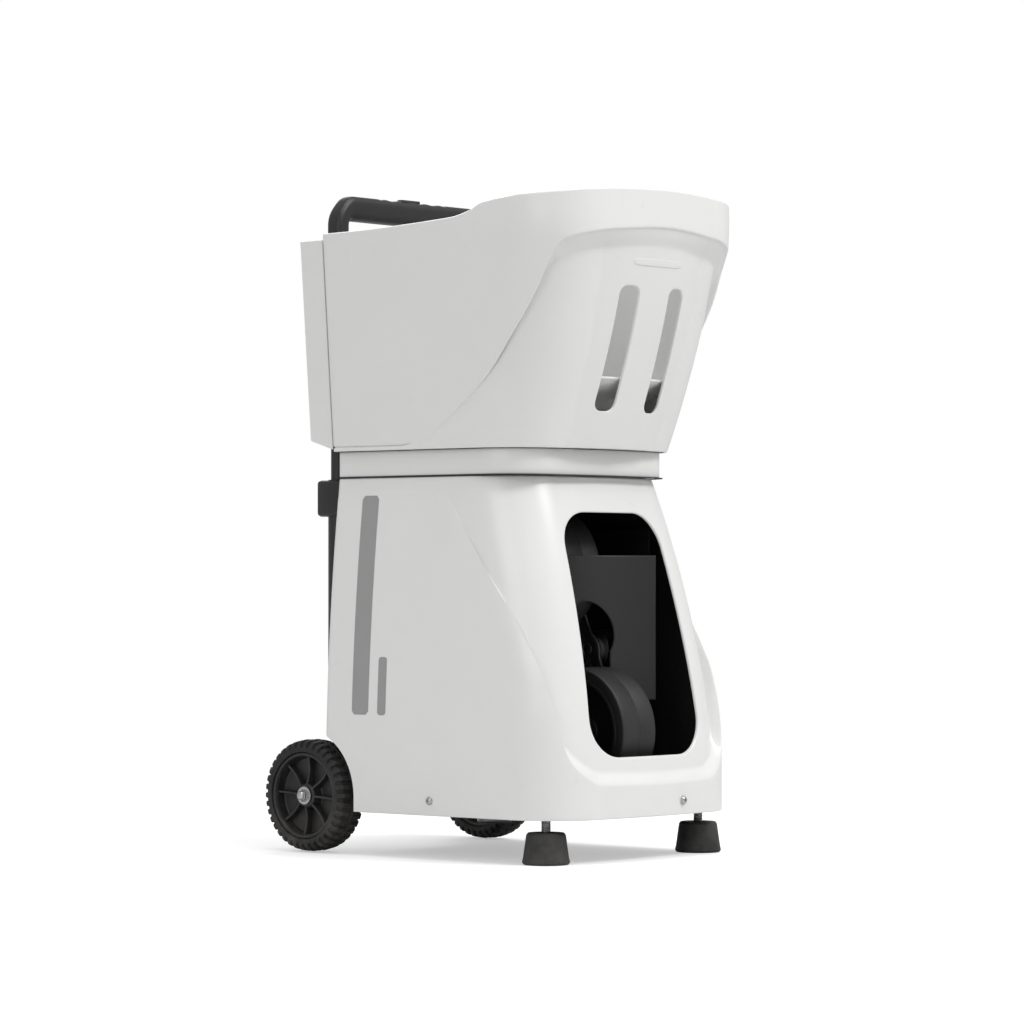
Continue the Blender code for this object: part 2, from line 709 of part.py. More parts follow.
def build_foot(side, pad_name, stem_name):
    """Rubber foot and the threaded stem it is screwed in with."""
    centre = (side * FOOT_X, FOOT_Y)
    pivot = (*centre, 0)
    pad = [(0.0240, 0), (0.0250, 0.002), (0.0205, 0.031), (0.0190, FOOT_HEIGHT)]
    add_object(pad_name, turned(pad, "Z", centre, 24), "black_rubber", pivot)
    stem = [(0.0050, FOOT_HEIGHT + GAP), (0.0050, 0.066), (0.0040, 0.067)]
    add_object(stem_name, turned(stem, "Z", centre, 16), "steel", pivot)


def build_handle(axis):
    """Grip hoop on two inner tubes, with the release button in the top bar."""
    outer_x, inner_x = TUBE_X + 0.009, TUBE_X - 0.009
    low = INNER_TUBE_TOP + GAP
    bar_low = HANDLE_TOP - 0.027
    half_depth = 0.010
    right = [(outer_x - 0.024 + 0.024 * math.cos(a), HANDLE_TOP - 0.024 + 0.024 * math.sin(a))
             for a in [math.pi / 2 * i / 6 for i in range(7)]]
    left = [(-x, z) for x, z in right[::-1]]
    inside = [(inner_x - 0.010 + 0.010 * math.cos(a), bar_low - 0.010 + 0.010 * math.sin(a))
              for a in [math.pi / 2 * i / 4 for i in range(5)]]
    inside_left = [(-x, z) for x, z in inside[::-1]]
    hoop = [(outer_x, low), *right, *left, (-outer_x, low), (-inner_x, low),
            *inside_left[::-1], *inside[::-1], (inner_x, low)]
    grip_bm = prism(hoop, "Y", TUBE_Y - half_depth, TUBE_Y + half_depth)
    edges = [e for e in grip_bm.edges if abs(e.verts[0].co.y - e.verts[1].co.y) < 1e-6
             and max(v.co.z for v in e.verts) > low + 1e-6]
    bmesh.ops.bevel(grip_bm, geom=edges, offset=0.003, segments=2, affect="EDGES", profile=0.5)
    grip = add_object("handle_grip", grip_bm, "black_plastic", (0, TUBE_Y, HANDLE_TOP), axis)
    pocket = prism(rounded_rectangle(-0.0163, 0.0163, TUBE_Y - 0.0053, TUBE_Y + 0.0053, 0.005), "Z",
                   HANDLE_TOP - 0.0085, HANDLE_TOP + 0.01)
    carve(grip, [pocket])
    button = prism(rounded_rectangle(-0.016, 0.016, TUBE_Y - 0.005, TUBE_Y + 0.005, 0.0047), "Z",
                   HANDLE_TOP - 0.0030, HANDLE_TOP + 0.0020)
    add_object("release_button", button, "grey_plastic", (0, TUBE_Y, HANDLE_TOP), axis)
    for side, name in ((-1, "inner_tube_left"), (1, "inner_tube_right")):
        centre = (side * TUBE_X, TUBE_Y)
        rod = turned([(0.008, INNER_TUBE_BOTTOM), (0.008, INNER_TUBE_TOP)], "Z", centre, 24)
        add_object(name, rod, "black_plastic", (*centre, INNER_TUBE_TOP), axis)


# ---- throwing head ----
def cheek_outline():
    """Outline in y and z of a cheek: a bar between the wheel axes with a round boss at each."""
    length = math.hypot(UPPER_AXIS[0] - LOWER_AXIS[0], UPPER_AXIS[1] - LOWER_AXIS[1])
    bosses = ((0.0, 0.026), (length / 2, 0.017), (length, 0.026))
    steps = 32
    along = [-0.026 + (length + 0.052) * i / steps for i in range(steps + 1)]

    def half(s):
        width = 0.012 if 0 <= s <= length else 0.0
        for place, radius in bosses:
            reach = radius * radius - (s - place) ** 2
            if reach > 0:
                width = max(width, math.sqrt(reach))
        return width

    sin_a, cos_a = math.sin(THROW_ANGLE), math.cos(THROW_ANGLE)
    points = []
    for sign, places in ((1, along), (-1, along[::-1])):
        for s in places:
            t = sign * max(half(s), 0.002)
            points.append((LOWER_AXIS[0] + s * sin_a + t * cos_a, LOWER_AXIS[1] + s * cos_a - t * sin_a))
    return points


def build_cheek(side, name, axis):
    """Side plate of the head, with holes for the two wheel shafts and the pivot boss."""
    left, right = ordered(side, CHEEK_INNER_X, CHEEK_OUTER_X)
    cheek = add_object(name, prism(cheek_outline(), "X", left, right), "steel", (0, *PITCH_AXIS), axis)
    holes = []
    for centre, radius in ((LOWER_AXIS, 0.0053), (UPPER_AXIS, 0.0053), (PITCH_AXIS, 0.0063)):
        holes.append(turned([(radius, left - 0.01), (radius, right + 0.01)], "X", centre, 20))
    return carve(cheek, holes)


def build_shield(axis):
    """Concave dark shield across the front of the head, with the ball port and the wheel slot."""
    radius = 0.0997
    centre_y = -0.2057
    half_angle = math.asin(0.075 / radius)
    outline = []
    for r, direction in ((radius, 1), (radius + 0.0025, -1)):
        for i in range(17):
            a = direction * half_angle * (2 * i / 16 - 1)
            outline.append((r * math.sin(a), centre_y + r * math.cos(a)))
    shield = add_object("head_shield", prism(outline, "Z", 0.165, 0.320), "grey_plastic",
                        (0, *PITCH_AXIS), axis)
    port = prism(circle((0, 0.234), 0.037, 32), "Y", -0.15, -0.05)
    slot = box((-0.0325, -0.15, 0.15), (0.0325, -0.05, 0.234))
    return carve(shield, [port, slot])


def build_throw_wheel(label, centre, axis):
    """Hub with its shaft, and the wide rubber tyre that grips the ball."""
    half = THROW_HALF_WIDTH
    pivot = (0, *centre)
    hub = [(0.005, -0.0427), (0.005, -0.030), (0.014, -0.030), (0.014, -0.007), (0.0530, -0.007),
           (0.0530, -half), (0.0570, -half), (0.0570, half), (0.0530, half), (0.0530, 0.007),
           (0.014, 0.007), (0.014, 0.030), (0.005, 0.030), (0.005, 0.0427)]
    tyre = [(0.0573, -half), (0.0573, half), (0.0670, half), (THROW_RADIUS, half - 0.001),
            (THROW_RADIUS, -half + 0.001), (0.0670, -half)]
    add_object(label + "_throw_hub", turned(hub, "X", centre, 32), "black_plastic", pivot, axis)
    add_object(label + "_throw_tyre", turned(tyre, "X", centre, 40, closed=True), "black_rubber", pivot, axis)


def build_wheel_motor(label, centre, side, axis):
    """Flat motor can on the outside of a cheek, in line with its wheel."""
    near, far = CHEEK_OUTER_X + GAP, 0.0690
    profile = [(0.025, side * near), (0.025, side * (far - 0.002)), (0.023, side * far)]
    add_object(label + "_wheel_motor", turned(profile, "X", centre, 32), "steel", (0, *PITCH_AXIS), axis)


def build_turntable(axis):
    profile = [(0.055, 0.0533), (0.055, 0.0593)]
    add_object("turntable", turned(profile, "Z", (0, YAW_Y), 40), "steel", (0, YAW_Y, 0), axis)


def build_yoke_arm(side, name, axis):
    """Upright from the turntable to the head's pivot, with the pivot boss on its inner face."""
    foot_z = 0.0596
    bend = (0.020, 0.078)
    dy, dz = PITCH_AXIS[0] - bend[0], PITCH_AXIS[1] - bend[1]
    length = math.hypot(dy, dz)
    ny, nz = dz / length * 0.016, -dy / length * 0.016
    start = math.atan2(nz, ny)
    cap = [(PITCH_AXIS[0] + 0.016 * math.cos(start + math.pi * i / 8),
            PITCH_AXIS[1] + 0.016 * math.sin(start + math.pi * i / 8)) for i in range(9)]
    outline = [(-0.004, foot_z), (0.048, foot_z), (bend[0] + ny, bend[1] + nz), *cap,
               (bend[0] - ny, bend[1] - nz)]
    left, right = ordered(side, ARM_INNER_X, ARM_OUTER_X)
    arm = add_object(name, prism(outline, "X", left, right), "steel", (0, YAW_Y, 0), axis)
    boss = turned([(0.006, side * (CHEEK_INNER_X + GAP)), (0.006, side * (ARM_INNER_X + 0.002))], "X",
                  PITCH_AXIS, 20)
    return carve(arm, [boss], "UNION")


def build_pitch_motor(axis):
    profile = [(0.021, ARM_OUTER_X + GAP), (0.021, 0.072), (0.019, 0.074)]
    add_object("pitch_motor", turned(profile, "X", PITCH_AXIS, 28), "steel", (0, YAW_Y, 0), axis)


def build_trough(axis):
    """Open half-pipe that rolls the dropped ball forward into the nip, on a post."""
    inner, outer = CHUTE_RADIUS, CHUTE_RADIUS + 0.0025
    section = [(r * math.cos(a), r * math.sin(a))
               for r, order in ((outer, 1), (inner, -1))
               for a in [math.pi + math.pi * i / 14 for i in range(15)][::order]]
    front_y, rear_y, front_z, rear_z = -0.022, 0.118, 0.206, 0.224
    slope = (rear_z - front_z) / (rear_y - front_y)
    rings = [[(x, y, z + front_z + slope * (y - front_y)) for x, z in section]
             for y in (front_y, rear_y)]
    trough = add_object("ball_trough", skin_rings(rings, close_ends=True), "black_plastic",
                        (0, YAW_Y, 0), axis)
    cap = [(outer * 0.999 * math.cos(a), rear_z + outer * 0.999 * math.sin(a))
           for a in [math.pi + math.pi * i / 14 for i in range(15)]]
    stop = prism(cap, "Y", rear_y - 0.003, rear_y - 0.0005)
    post = box((-0.008, 0.030, 0.0596), (0.008, 0.046, 0.178))
    return carve(trough, [stop, post], "UNION")


# ---- feeder and controls ----
def build_carousel():
    """Disc with ball pockets that turns over the deck."""
    centre = (0, CAROUSEL_Y)
    profile = [(CAROUSEL_RADIUS, 0.4320), (CAROUSEL_RADIUS, 0.4600), (CAROUSEL_RADIUS - 0.002, 0.4620),
               (0.030, 0.4620), (0.022, 0.4700), (0.006, 0.4740)]
    disc = add_object("feeder_carousel", turned(profile, "Z", centre, 40), "black_plastic",
                      (0, CAROUSEL_Y, 0.432))
    pockets = []
    for i in range(POCKETS):
        angle = math.pi / 2 + 2 * math.pi * i / POCKETS
        place = (POCKET_CIRCLE * math.cos(angle), CAROUSEL_Y + POCKET_CIRCLE * math.sin(angle))
        pockets.append(turned([(POCKET_RADIUS, 0.42), (POCKET_RADIUS, 0.48)], "Z", place, 22))
    return carve(disc, pockets)


def build_rocker():
    """Power rocker switch, tilted to its off side."""
    pivot = (-0.055, REAR_Y + 0.001, 0.235)
    bm = box((-0.065, REAR_Y - 0.006, 0.2235), (-0.045, REAR_Y + 0.0060, 0.2465), 0.001, 1)
    turn = Matrix.Translation(pivot) @ Matrix.Rotation(math.radians(-7), 4, "X")
    bm.transform(turn @ Matrix.Translation(-Vector(pivot)))
    add_object("power_rocker", bm, "black_plastic", pivot)


def build_buttons():
    for name, x in (("speed_button", -0.012), ("feed_button", 0.015)):
        y = REAR_Y
        profile = [(0.0055, y - 0.003), (0.0055, y + 0.0055), (0.0045, y + 0.0065)]
        add_object(name, turned(profile, "Y", (x, 0.235), 20), "white_abs", (x, y, 0.235))


def build_battery_door():
    """Door over the battery, hinged along its top edge."""
    pivot = (0, REAR_Y + 0.0035, 0.1497)
    outline = rounded_rectangle(-0.0695, 0.0695, 0.0710, 0.1495, 0.0025)
    add_object("battery_door", prism(outline, "Y", REAR_Y + 0.0005, REAR_Y + 0.0033), "grey_plastic", pivot)


def clear_scene():
    for item in list(bpy.data.objects):
        bpy.data.objects.remove(item)


def build_structure():
    build_lower_housing()
    build_base_tray()
    build_rear_panel()
    build_battery()
    build_charge_socket()
    build_control_board()
    build_seam()
    build_collar()
    build_hopper()
    build_rear_cover()
    build_funnel()
    build_feeder_deck()
    build_feeder_motor()
    build_chute()
    build_yaw_motor()
    build_axle()
    build_screws()


def build_head():
    yaw = add_axis("yaw_axis", (0, YAW_Y, 0))
    pitch = add_axis("pitch_axis", (0, *PITCH_AXIS), yaw)
    build_turntable(yaw)
    build_trough(yaw)
    build_pitch_motor(yaw)
    build_shield(pitch)
    for side, word in ((-1, "left"), (1, "right")):
        build_yoke_arm(side, "yoke_arm_" + word, yaw)
        build_cheek(side, "cradle_cheek_" + word, pitch)
    build_throw_wheel("lower", LOWER_AXIS, pitch)
    build_throw_wheel("upper", UPPER_AXIS, pitch)
    build_wheel_motor("lower", LOWER_AXIS, 1, pitch)
    build_wheel_motor("upper", UPPER_AXIS, -1, pitch)


def build_running_gear():
    for side, word in ((-1, "left"), (1, "right")):
        build_liner(side, "side_liner_" + word)
        build_axle_bracket(side, "axle_bracket_" + word)
        build_axle_nut(side, "axle_nut_" + word)
        build_tube_block(side, "tube_block_" + word)
        build_outer_tube(side, "outer_tube_" + word)
        build_trolley_wheel(side, "trolley_rim_" + word, "trolley_tyre_" + word)
        build_foot(side, "foot_pad_" + word, "foot_stem_" + word)
    build_handle(add_axis("handle_slide", (0, TUBE_Y, HANDLE_TOP)))


def main():
    clear_scene()
    build_structure()
    build_head()
    build_running_gear()
    build_carousel()
    build_rocker()
    build_buttons()
    build_battery_door()


main()
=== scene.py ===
import json
import math

import bmesh
import bpy
import numpy as np
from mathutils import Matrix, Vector

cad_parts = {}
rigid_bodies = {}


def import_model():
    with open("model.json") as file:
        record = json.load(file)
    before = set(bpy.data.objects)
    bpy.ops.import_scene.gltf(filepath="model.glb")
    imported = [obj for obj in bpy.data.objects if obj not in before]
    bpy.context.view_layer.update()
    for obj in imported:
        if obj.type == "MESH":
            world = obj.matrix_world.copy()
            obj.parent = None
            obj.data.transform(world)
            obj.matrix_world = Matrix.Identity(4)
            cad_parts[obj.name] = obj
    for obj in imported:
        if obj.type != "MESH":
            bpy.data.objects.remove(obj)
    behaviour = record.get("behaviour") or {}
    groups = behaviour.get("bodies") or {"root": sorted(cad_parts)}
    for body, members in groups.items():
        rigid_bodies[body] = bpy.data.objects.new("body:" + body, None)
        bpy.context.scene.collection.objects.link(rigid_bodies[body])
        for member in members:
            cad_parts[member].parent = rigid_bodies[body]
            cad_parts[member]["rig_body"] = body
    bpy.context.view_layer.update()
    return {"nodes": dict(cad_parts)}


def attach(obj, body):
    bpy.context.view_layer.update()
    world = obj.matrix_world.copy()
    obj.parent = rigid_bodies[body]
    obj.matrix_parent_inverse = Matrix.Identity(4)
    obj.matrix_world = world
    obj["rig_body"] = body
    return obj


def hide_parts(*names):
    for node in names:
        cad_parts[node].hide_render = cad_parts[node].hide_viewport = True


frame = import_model()
print("frame loaded:", len(frame["nodes"]), "nodes")

# camera, floor and lights
view = {
    "place": (-3.1942, -2.7849, 0.29475),
    "direction": (0.7531, 0.6579, 0.0),
    "lens": 137.5,
    "shift": (0.0041, 0.0655),
}
studio = {
    "floorColour": (0.60, 0.60, 0.60, 1),
    "floorGlow": 0.42,
    "skyColour": (1.0, 1.0, 1.0, 1),
    "skyStrength": 0.56,
    "keyPower": 50.0,
    "fillPower": 10.0,
    "topPower": 23.0,
    "rimPower": 8.0,
    "floorNear": 0.45,
    "floorFar": 2.4,
}


def aim(item, place, target):
    item.location = place
    item.rotation_euler = (Vector(target) - Vector(place)).to_track_quat("-Z", "Y").to_euler()
    bpy.context.scene.collection.objects.link(item)
    return item


def softLight(name, place, target, size, power, colour=(1, 1, 1)):
    lamp = bpy.data.lights.new(name, "AREA")
    lamp.shape = "DISK"
    lamp.size = size
    lamp.energy = power
    lamp.color = colour
    return aim(bpy.data.objects.new(name, lamp), place, target)


cameraData = bpy.data.cameras.new("viewCamera")
cameraData.lens = view["lens"]
cameraData.sensor_width = 36
cameraData.shift_x, cameraData.shift_y = view["shift"]
cameraData.clip_end = 50
ahead = Vector(view["place"]) + Vector(view["direction"])
bpy.context.scene.camera = aim(bpy.data.objects.new("viewCamera", cameraData), view["place"], ahead)

softLight("keyLight", (0.9, -2.3, 2.7), (0, 0, 0.35), 1.1, studio["keyPower"])
softLight("fillLight", (-2.8, -0.6, 1.3), (0, 0, 0.35), 1.6, studio["fillPower"])
softLight("topLight", (-0.3, -0.5, 2.8), (0, 0, 0.35), 1.4, studio["topPower"])
softLight("rimLight", (1.6, 1.8, 1.9), (0, 0, 0.4), 1.2, studio["rimPower"])

sky = bpy.data.worlds.new("studioSky")
sky.use_nodes = True
skyTree = sky.node_tree
skyTree.nodes["Background"].inputs["Color"].default_value = studio["skyColour"]
skyTree.nodes["Background"].inputs["Strength"].default_value = studio["skyStrength"]
backdrop = skyTree.nodes.new("ShaderNodeBackground")  # what the eye sees behind the machine
backdrop.inputs["Color"].default_value = studio["skyColour"]
seen = skyTree.nodes.new("ShaderNodeLightPath")
choose = skyTree.nodes.new("ShaderNodeMixShader")
skyTree.links.new(seen.outputs["Is Camera Ray"], choose.inputs["Fac"])
skyTree.links.new(skyTree.nodes["Background"].outputs["Background"], choose.inputs[1])
skyTree.links.new(backdrop.outputs["Background"], choose.inputs[2])
skyTree.links.new(choose.outputs["Shader"], skyTree.nodes["World Output"].inputs["Surface"])
bpy.context.scene.world = sky
bpy.context.scene.view_settings.view_transform = "Standard"
print("camera and lights placed")


# shader building blocks
def makeGroup(name, inputs, outputs):
    group = bpy.data.node_groups.new(name, "ShaderNodeTree")
    for label, kind, value in inputs:
        socket = group.interface.new_socket(name=label, in_out="INPUT", socket_type=kind)
        socket.default_value = value
    for label, kind in outputs:
        group.interface.new_socket(name=label, in_out="OUTPUT", socket_type=kind)
    return group, group.nodes.new("NodeGroupInput"), group.nodes.new("NodeGroupOutput")


def addNode(tree, kind, inputs=None, **settings):
    node = tree.nodes.new(kind)
    for key, value in settings.items():
        setattr(node, key, value)
    for key, value in (inputs or {}).items():
        if isinstance(value, bpy.types.NodeSocket):
            tree.links.new(value, node.inputs[key])
        else:
            node.inputs[key].default_value = value
    return node


def mixColour(tree, share, first, second):
    # first times (1 - share) plus second times share
    node = addNode(tree, "ShaderNodeMix", data_type="RGBA")
    for index, value in ((0, share), (6, first), (7, second)):
        if isinstance(value, bpy.types.NodeSocket):
            tree.links.new(value, node.inputs[index])
        else:
            node.inputs[index].default_value = value
    return node.outputs[2]


def mathNode(tree, operation, first, second=0.0, third=None, clamp=False):
    node = addNode(tree, "ShaderNodeMath", operation=operation, use_clamp=clamp)
    for index, value in enumerate((first, second, third)):
        if value is None:
            continue
        if isinstance(value, bpy.types.NodeSocket):
            tree.links.new(value, node.inputs[index])
        else:
            node.inputs[index].default_value = value
    return node.outputs[0]


def buildGrainGroup():
    # moulded grain: fine noise plus a share of shallow pits, both on object coordinates
    group, start, end = makeGroup("mouldedGrain", (
        ("Vector", "NodeSocketVector", (0, 0, 0)), ("Scale", "NodeSocketFloat", 900.0),
        ("Pits", "NodeSocketFloat", 0.4)), (("Height", "NodeSocketFloat"), ("Mottle", "NodeSocketFloat")))
    fine = addNode(group, "ShaderNodeTexNoise", {"Vector": start.outputs["Vector"],
                   "Scale": start.outputs["Scale"], "Detail": 3.0, "Roughness": 0.6})
    pits = addNode(group, "ShaderNodeTexVoronoi", {"Vector": start.outputs["Vector"],
                   "Scale": start.outputs["Scale"]}, feature="SMOOTH_F1")
    pitDepth = mathNode(group, "MULTIPLY", pits.outputs["Distance"], start.outputs["Pits"])
    height = mathNode(group, "ADD", fine.outputs["Fac"], pitDepth)
    broad = addNode(group, "ShaderNodeTexNoise", {"Vector": start.outputs["Vector"], "Scale": 14.0,
                    "Detail": 5.0, "Roughness": 0.62})
    group.links.new(height, end.inputs["Height"])
    group.links.new(broad.outputs["Fac"], end.inputs["Mottle"])
    return group


def buildScuffGroup():
    # scuffs: stretched noise cut off high, so only thin scattered streaks are left
    group, start, end = makeGroup("handlingScuffs", (
        ("Vector", "NodeSocketVector", (0, 0, 0)), ("Scale", "NodeSocketFloat", 30.0),
        ("Amount", "NodeSocketFloat", 0.3)), (("Mask", "NodeSocketFloat"),))
    stretch = addNode(group, "ShaderNodeMapping", {"Vector": start.outputs["Vector"],
                      "Rotation": (0.4, 0.7, 0.3), "Scale": (1.0, 9.0, 1.6)})
    streak = addNode(group, "ShaderNodeTexNoise", {"Vector": stretch.outputs["Vector"],
                     "Scale": start.outputs["Scale"], "Detail": 6.0, "Roughness": 0.7})
    patch = addNode(group, "ShaderNodeTexNoise", {"Vector": start.outputs["Vector"], "Scale": 9.0,
                    "Detail": 2.0})
    cut = addNode(group, "ShaderNodeMapRange", {"Value": streak.outputs["Fac"], "From Min": 0.60,
                  "From Max": 0.74}, interpolation_type="SMOOTHSTEP")
    zone = addNode(group, "ShaderNodeMapRange", {"Value": patch.outputs["Fac"], "From Min": 0.48,
                   "From Max": 0.66}, interpolation_type="SMOOTHSTEP")
    both = mathNode(group, "MULTIPLY", cut.outputs["Result"], zone.outputs["Result"])
    group.links.new(mathNode(group, "MULTIPLY", both, start.outputs["Amount"]), end.inputs["Mask"])
    return group


def buildDustGroup():
    # dust: strongest near the ground, fading with height, broken up by noise
    group, start, end = makeGroup("courtDust", (
        ("Vector", "NodeSocketVector", (0, 0, 0)), ("Fade Height", "NodeSocketFloat", 0.12),
        ("Amount", "NodeSocketFloat", 0.3)), (("Mask", "NodeSocketFloat"),))
    split = addNode(group, "ShaderNodeSeparateXYZ", {"Vector": start.outputs["Vector"]})
    near = addNode(group, "ShaderNodeMapRange", {"Value": split.outputs["Z"], "From Min": 0.0,
                   "From Max": start.outputs["Fade Height"], "To Min": 1.0, "To Max": 0.0})
    cloud = addNode(group, "ShaderNodeTexNoise", {"Vector": start.outputs["Vector"], "Scale": 38.0,
                    "Detail": 7.0, "Roughness": 0.68})
    broken = addNode(group, "ShaderNodeMapRange", {"Value": cloud.outputs["Fac"], "From Min": 0.38,
                     "From Max": 0.70})
    both = mathNode(group, "MULTIPLY", near.outputs["Result"], broken.outputs["Result"])
    group.links.new(mathNode(group, "MULTIPLY", both, start.outputs["Amount"], clamp=True),
                    end.inputs["Mask"])
    return group


grainGroup = buildGrainGroup()
scuffGroup = buildScuffGroup()
dustGroup = buildDustGroup()


def groupNode(tree, group, **inputs):
    node = tree.nodes.new("ShaderNodeGroup")
    node.node_tree = group
    for label, value in inputs.items():
        label = {"fadeHeight": "Fade Height"}.get(label, label.capitalize())
        if isinstance(value, bpy.types.NodeSocket):
            tree.links.new(value, node.inputs[label])
        else:
            node.inputs[label].default_value = value
    return node


finishes = {
    "whiteShell": {"colour": (0.80, 0.80, 0.795), "mottled": (0.765, 0.765, 0.755), "roughness": 0.30,
                   "spread": 0.10, "grain": 650, "pits": 0.3, "bump": 0.035, "scuff": 0.30,
                   "scuffColour": (0.56, 0.56, 0.55), "dust": 0.05, "dustTop": 0.11, "coat": 0.12},
    "whiteLiner": {"colour": (0.74, 0.74, 0.73), "mottled": (0.68, 0.68, 0.67), "roughness": 0.46,
                   "spread": 0.12, "grain": 500, "pits": 0.4, "bump": 0.06, "scuff": 0.6,
                   "scuffColour": (0.50, 0.51, 0.47), "dust": 0.1, "dustTop": 0.1, "coat": 0.0},
    "satinBlack": {"colour": (0.011, 0.011, 0.012), "mottled": (0.017, 0.017, 0.018), "roughness": 0.42,
                   "spread": 0.14, "grain": 1100, "pits": 0.9, "bump": 0.16, "scuff": 0.5,
                   "scuffColour": (0.085, 0.085, 0.088), "dust": 0.12, "dustTop": 0.12, "coat": 0.0},
    # dark grey plastic, its colour darkened to near black as painted shade of the window's recess, where the
    # shield sits; the rear panel, battery door and release button share this colour
    "greyPanelPaintedShade": {"colour": (0.013, 0.013, 0.014), "mottled": (0.018, 0.018, 0.019), "roughness": 0.48,
                  "spread": 0.12, "grain": 800, "pits": 0.8, "bump": 0.14, "scuff": 0.35,
                  "scuffColour": (0.07, 0.07, 0.07), "dust": 0.10, "dustTop": 0.15, "coat": 0.0},
    "darkLiner": {"colour": (0.016, 0.016, 0.017), "mottled": (0.024, 0.024, 0.025), "roughness": 0.62,
                  "spread": 0.12, "grain": 800, "pits": 0.8, "bump": 0.14, "scuff": 0.3,
                  "scuffColour": (0.06, 0.06, 0.06), "dust": 0.12, "dustTop": 0.15, "coat": 0.0},
    "tyreRubber": {"colour": (0.010, 0.010, 0.010), "mottled": (0.016, 0.016, 0.016), "roughness": 0.72,
                   "spread": 0.16, "grain": 900, "pits": 0.6, "bump": 0.22, "scuff": 0.45,
                   "scuffColour": (0.075, 0.072, 0.068), "dust": 0.22, "dustTop": 0.10, "coat": 0.0},
    "gripRubber": {"colour": (0.011, 0.011, 0.011), "mottled": (0.017, 0.017, 0.018), "roughness": 0.60,
                   "spread": 0.14, "grain": 1300, "pits": 0.7, "bump": 0.2, "scuff": 0.6,
                   "scuffColour": (0.10, 0.11, 0.08), "dust": 0.12, "dustTop": 0.12, "coat": 0.0},
    "printedGrey": {"colour": (0.33, 0.33, 0.33), "mottled": (0.30, 0.30, 0.30), "roughness": 0.40,
                    "spread": 0.08, "grain": 1500, "pits": 0.2, "bump": 0.02, "scuff": 0.2,
                    "scuffColour": (0.55, 0.55, 0.55), "dust": 0.1, "dustTop": 0.1, "coat": 0.0},
}


def mouldedFinish(name):
    # colour: base to mottled by broad noise, then scuffs, then dust; roughness follows all three
    look = finishes[name]
    material = bpy.data.materials.new(name)
    material.use_nodes = True
    tree = material.node_tree
    shader = tree.nodes["Principled BSDF"]
    place = addNode(tree, "ShaderNodeTexCoord").outputs["Object"]
    grain = groupNode(tree, grainGroup, vector=place, scale=float(look["grain"]), pits=look["pits"])
    scuffs = groupNode(tree, scuffGroup, vector=place, scale=26.0, amount=look["scuff"])
    dust = groupNode(tree, dustGroup, vector=place, fadeHeight=look["dustTop"], amount=look["dust"])
    colour = mixColour(tree, grain.outputs["Mottle"], (*look["colour"], 1), (*look["mottled"], 1))
    colour = mixColour(tree, scuffs.outputs["Mask"], colour, (*look["scuffColour"], 1))
    colour = mixColour(tree, dust.outputs["Mask"], colour, (0.36, 0.32, 0.27, 1))
    rough = mathNode(tree, "MULTIPLY_ADD", grain.outputs["Mottle"], look["spread"],
                     look["roughness"] - look["spread"] / 2)
    rough = mathNode(tree, "MULTIPLY_ADD", scuffs.outputs["Mask"], 0.25, rough)
    rough = mathNode(tree, "MULTIPLY_ADD", dust.outputs["Mask"], 0.3, rough, clamp=True)
    bump = addNode(tree, "ShaderNodeBump", {"Height": grain.outputs["Height"], "Strength": look["bump"],
                   "Distance": 0.0004})
    tree.links.new(colour, shader.inputs["Base Color"])
    tree.links.new(rough, shader.inputs["Roughness"])
    tree.links.new(bump.outputs["Normal"], shader.inputs["Normal"])
    shader.inputs["Coat Weight"].default_value = look["coat"]
    shader.inputs["Coat Roughness"].default_value = 0.15
    return material


metals = {
    "zincSteel": {"colour": (0.60, 0.60, 0.61), "dark": (0.44, 0.44, 0.46), "roughness": 0.26,
                  "lines": (60.0, 1400.0, 1400.0), "bump": 0.10},
    "plateSteel": {"colour": (0.50, 0.51, 0.52), "dark": (0.36, 0.37, 0.38), "roughness": 0.38,
                   "lines": (900.0, 900.0, 40.0), "bump": 0.14},
    "motorCan": {"colour": (0.42, 0.42, 0.43), "dark": (0.30, 0.30, 0.31), "roughness": 0.32,
                 "lines": (1200.0, 60.0, 60.0), "bump": 0.12},
}


def metalFinish(name):
    # brushed lines: noise stretched along one object axis, mixed with broad clouding
    look = metals[name]
    material = bpy.data.materials.new(name)
    material.use_nodes = True
    tree = material.node_tree
    shader = tree.nodes["Principled BSDF"]
    place = addNode(tree, "ShaderNodeTexCoord").outputs["Object"]
    grain = groupNode(tree, grainGroup, vector=place, scale=700.0, pits=0.2)
    dust = groupNode(tree, dustGroup, vector=place, fadeHeight=0.10, amount=0.35)
    drawn = addNode(tree, "ShaderNodeMapping", {"Vector": place, "Scale": look["lines"]})
    lines = addNode(tree, "ShaderNodeTexNoise", {"Vector": drawn.outputs["Vector"], "Scale": 1.0,
                    "Detail": 3.0})
    colour = mixColour(tree, grain.outputs["Mottle"], (*look["colour"], 1), (*look["dark"], 1))
    colour = mixColour(tree, dust.outputs["Mask"], colour, (0.34, 0.30, 0.26, 1))
    rough = mathNode(tree, "MULTIPLY_ADD", lines.outputs["Fac"], 0.18, look["roughness"] - 0.09)
    metallic = mathNode(tree, "SUBTRACT", 1.0, dust.outputs["Mask"], clamp=True)
    bump = addNode(tree, "ShaderNodeBump", {"Height": lines.outputs["Fac"], "Strength": look["bump"],
                   "Distance": 0.0002})
    tree.links.new(colour, shader.inputs["Base Color"])
    tree.links.new(rough, shader.inputs["Roughness"])
    tree.links.new(metallic, shader.inputs["Metallic"])
    tree.links.new(bump.outputs["Normal"], shader.inputs["Normal"])
    return material


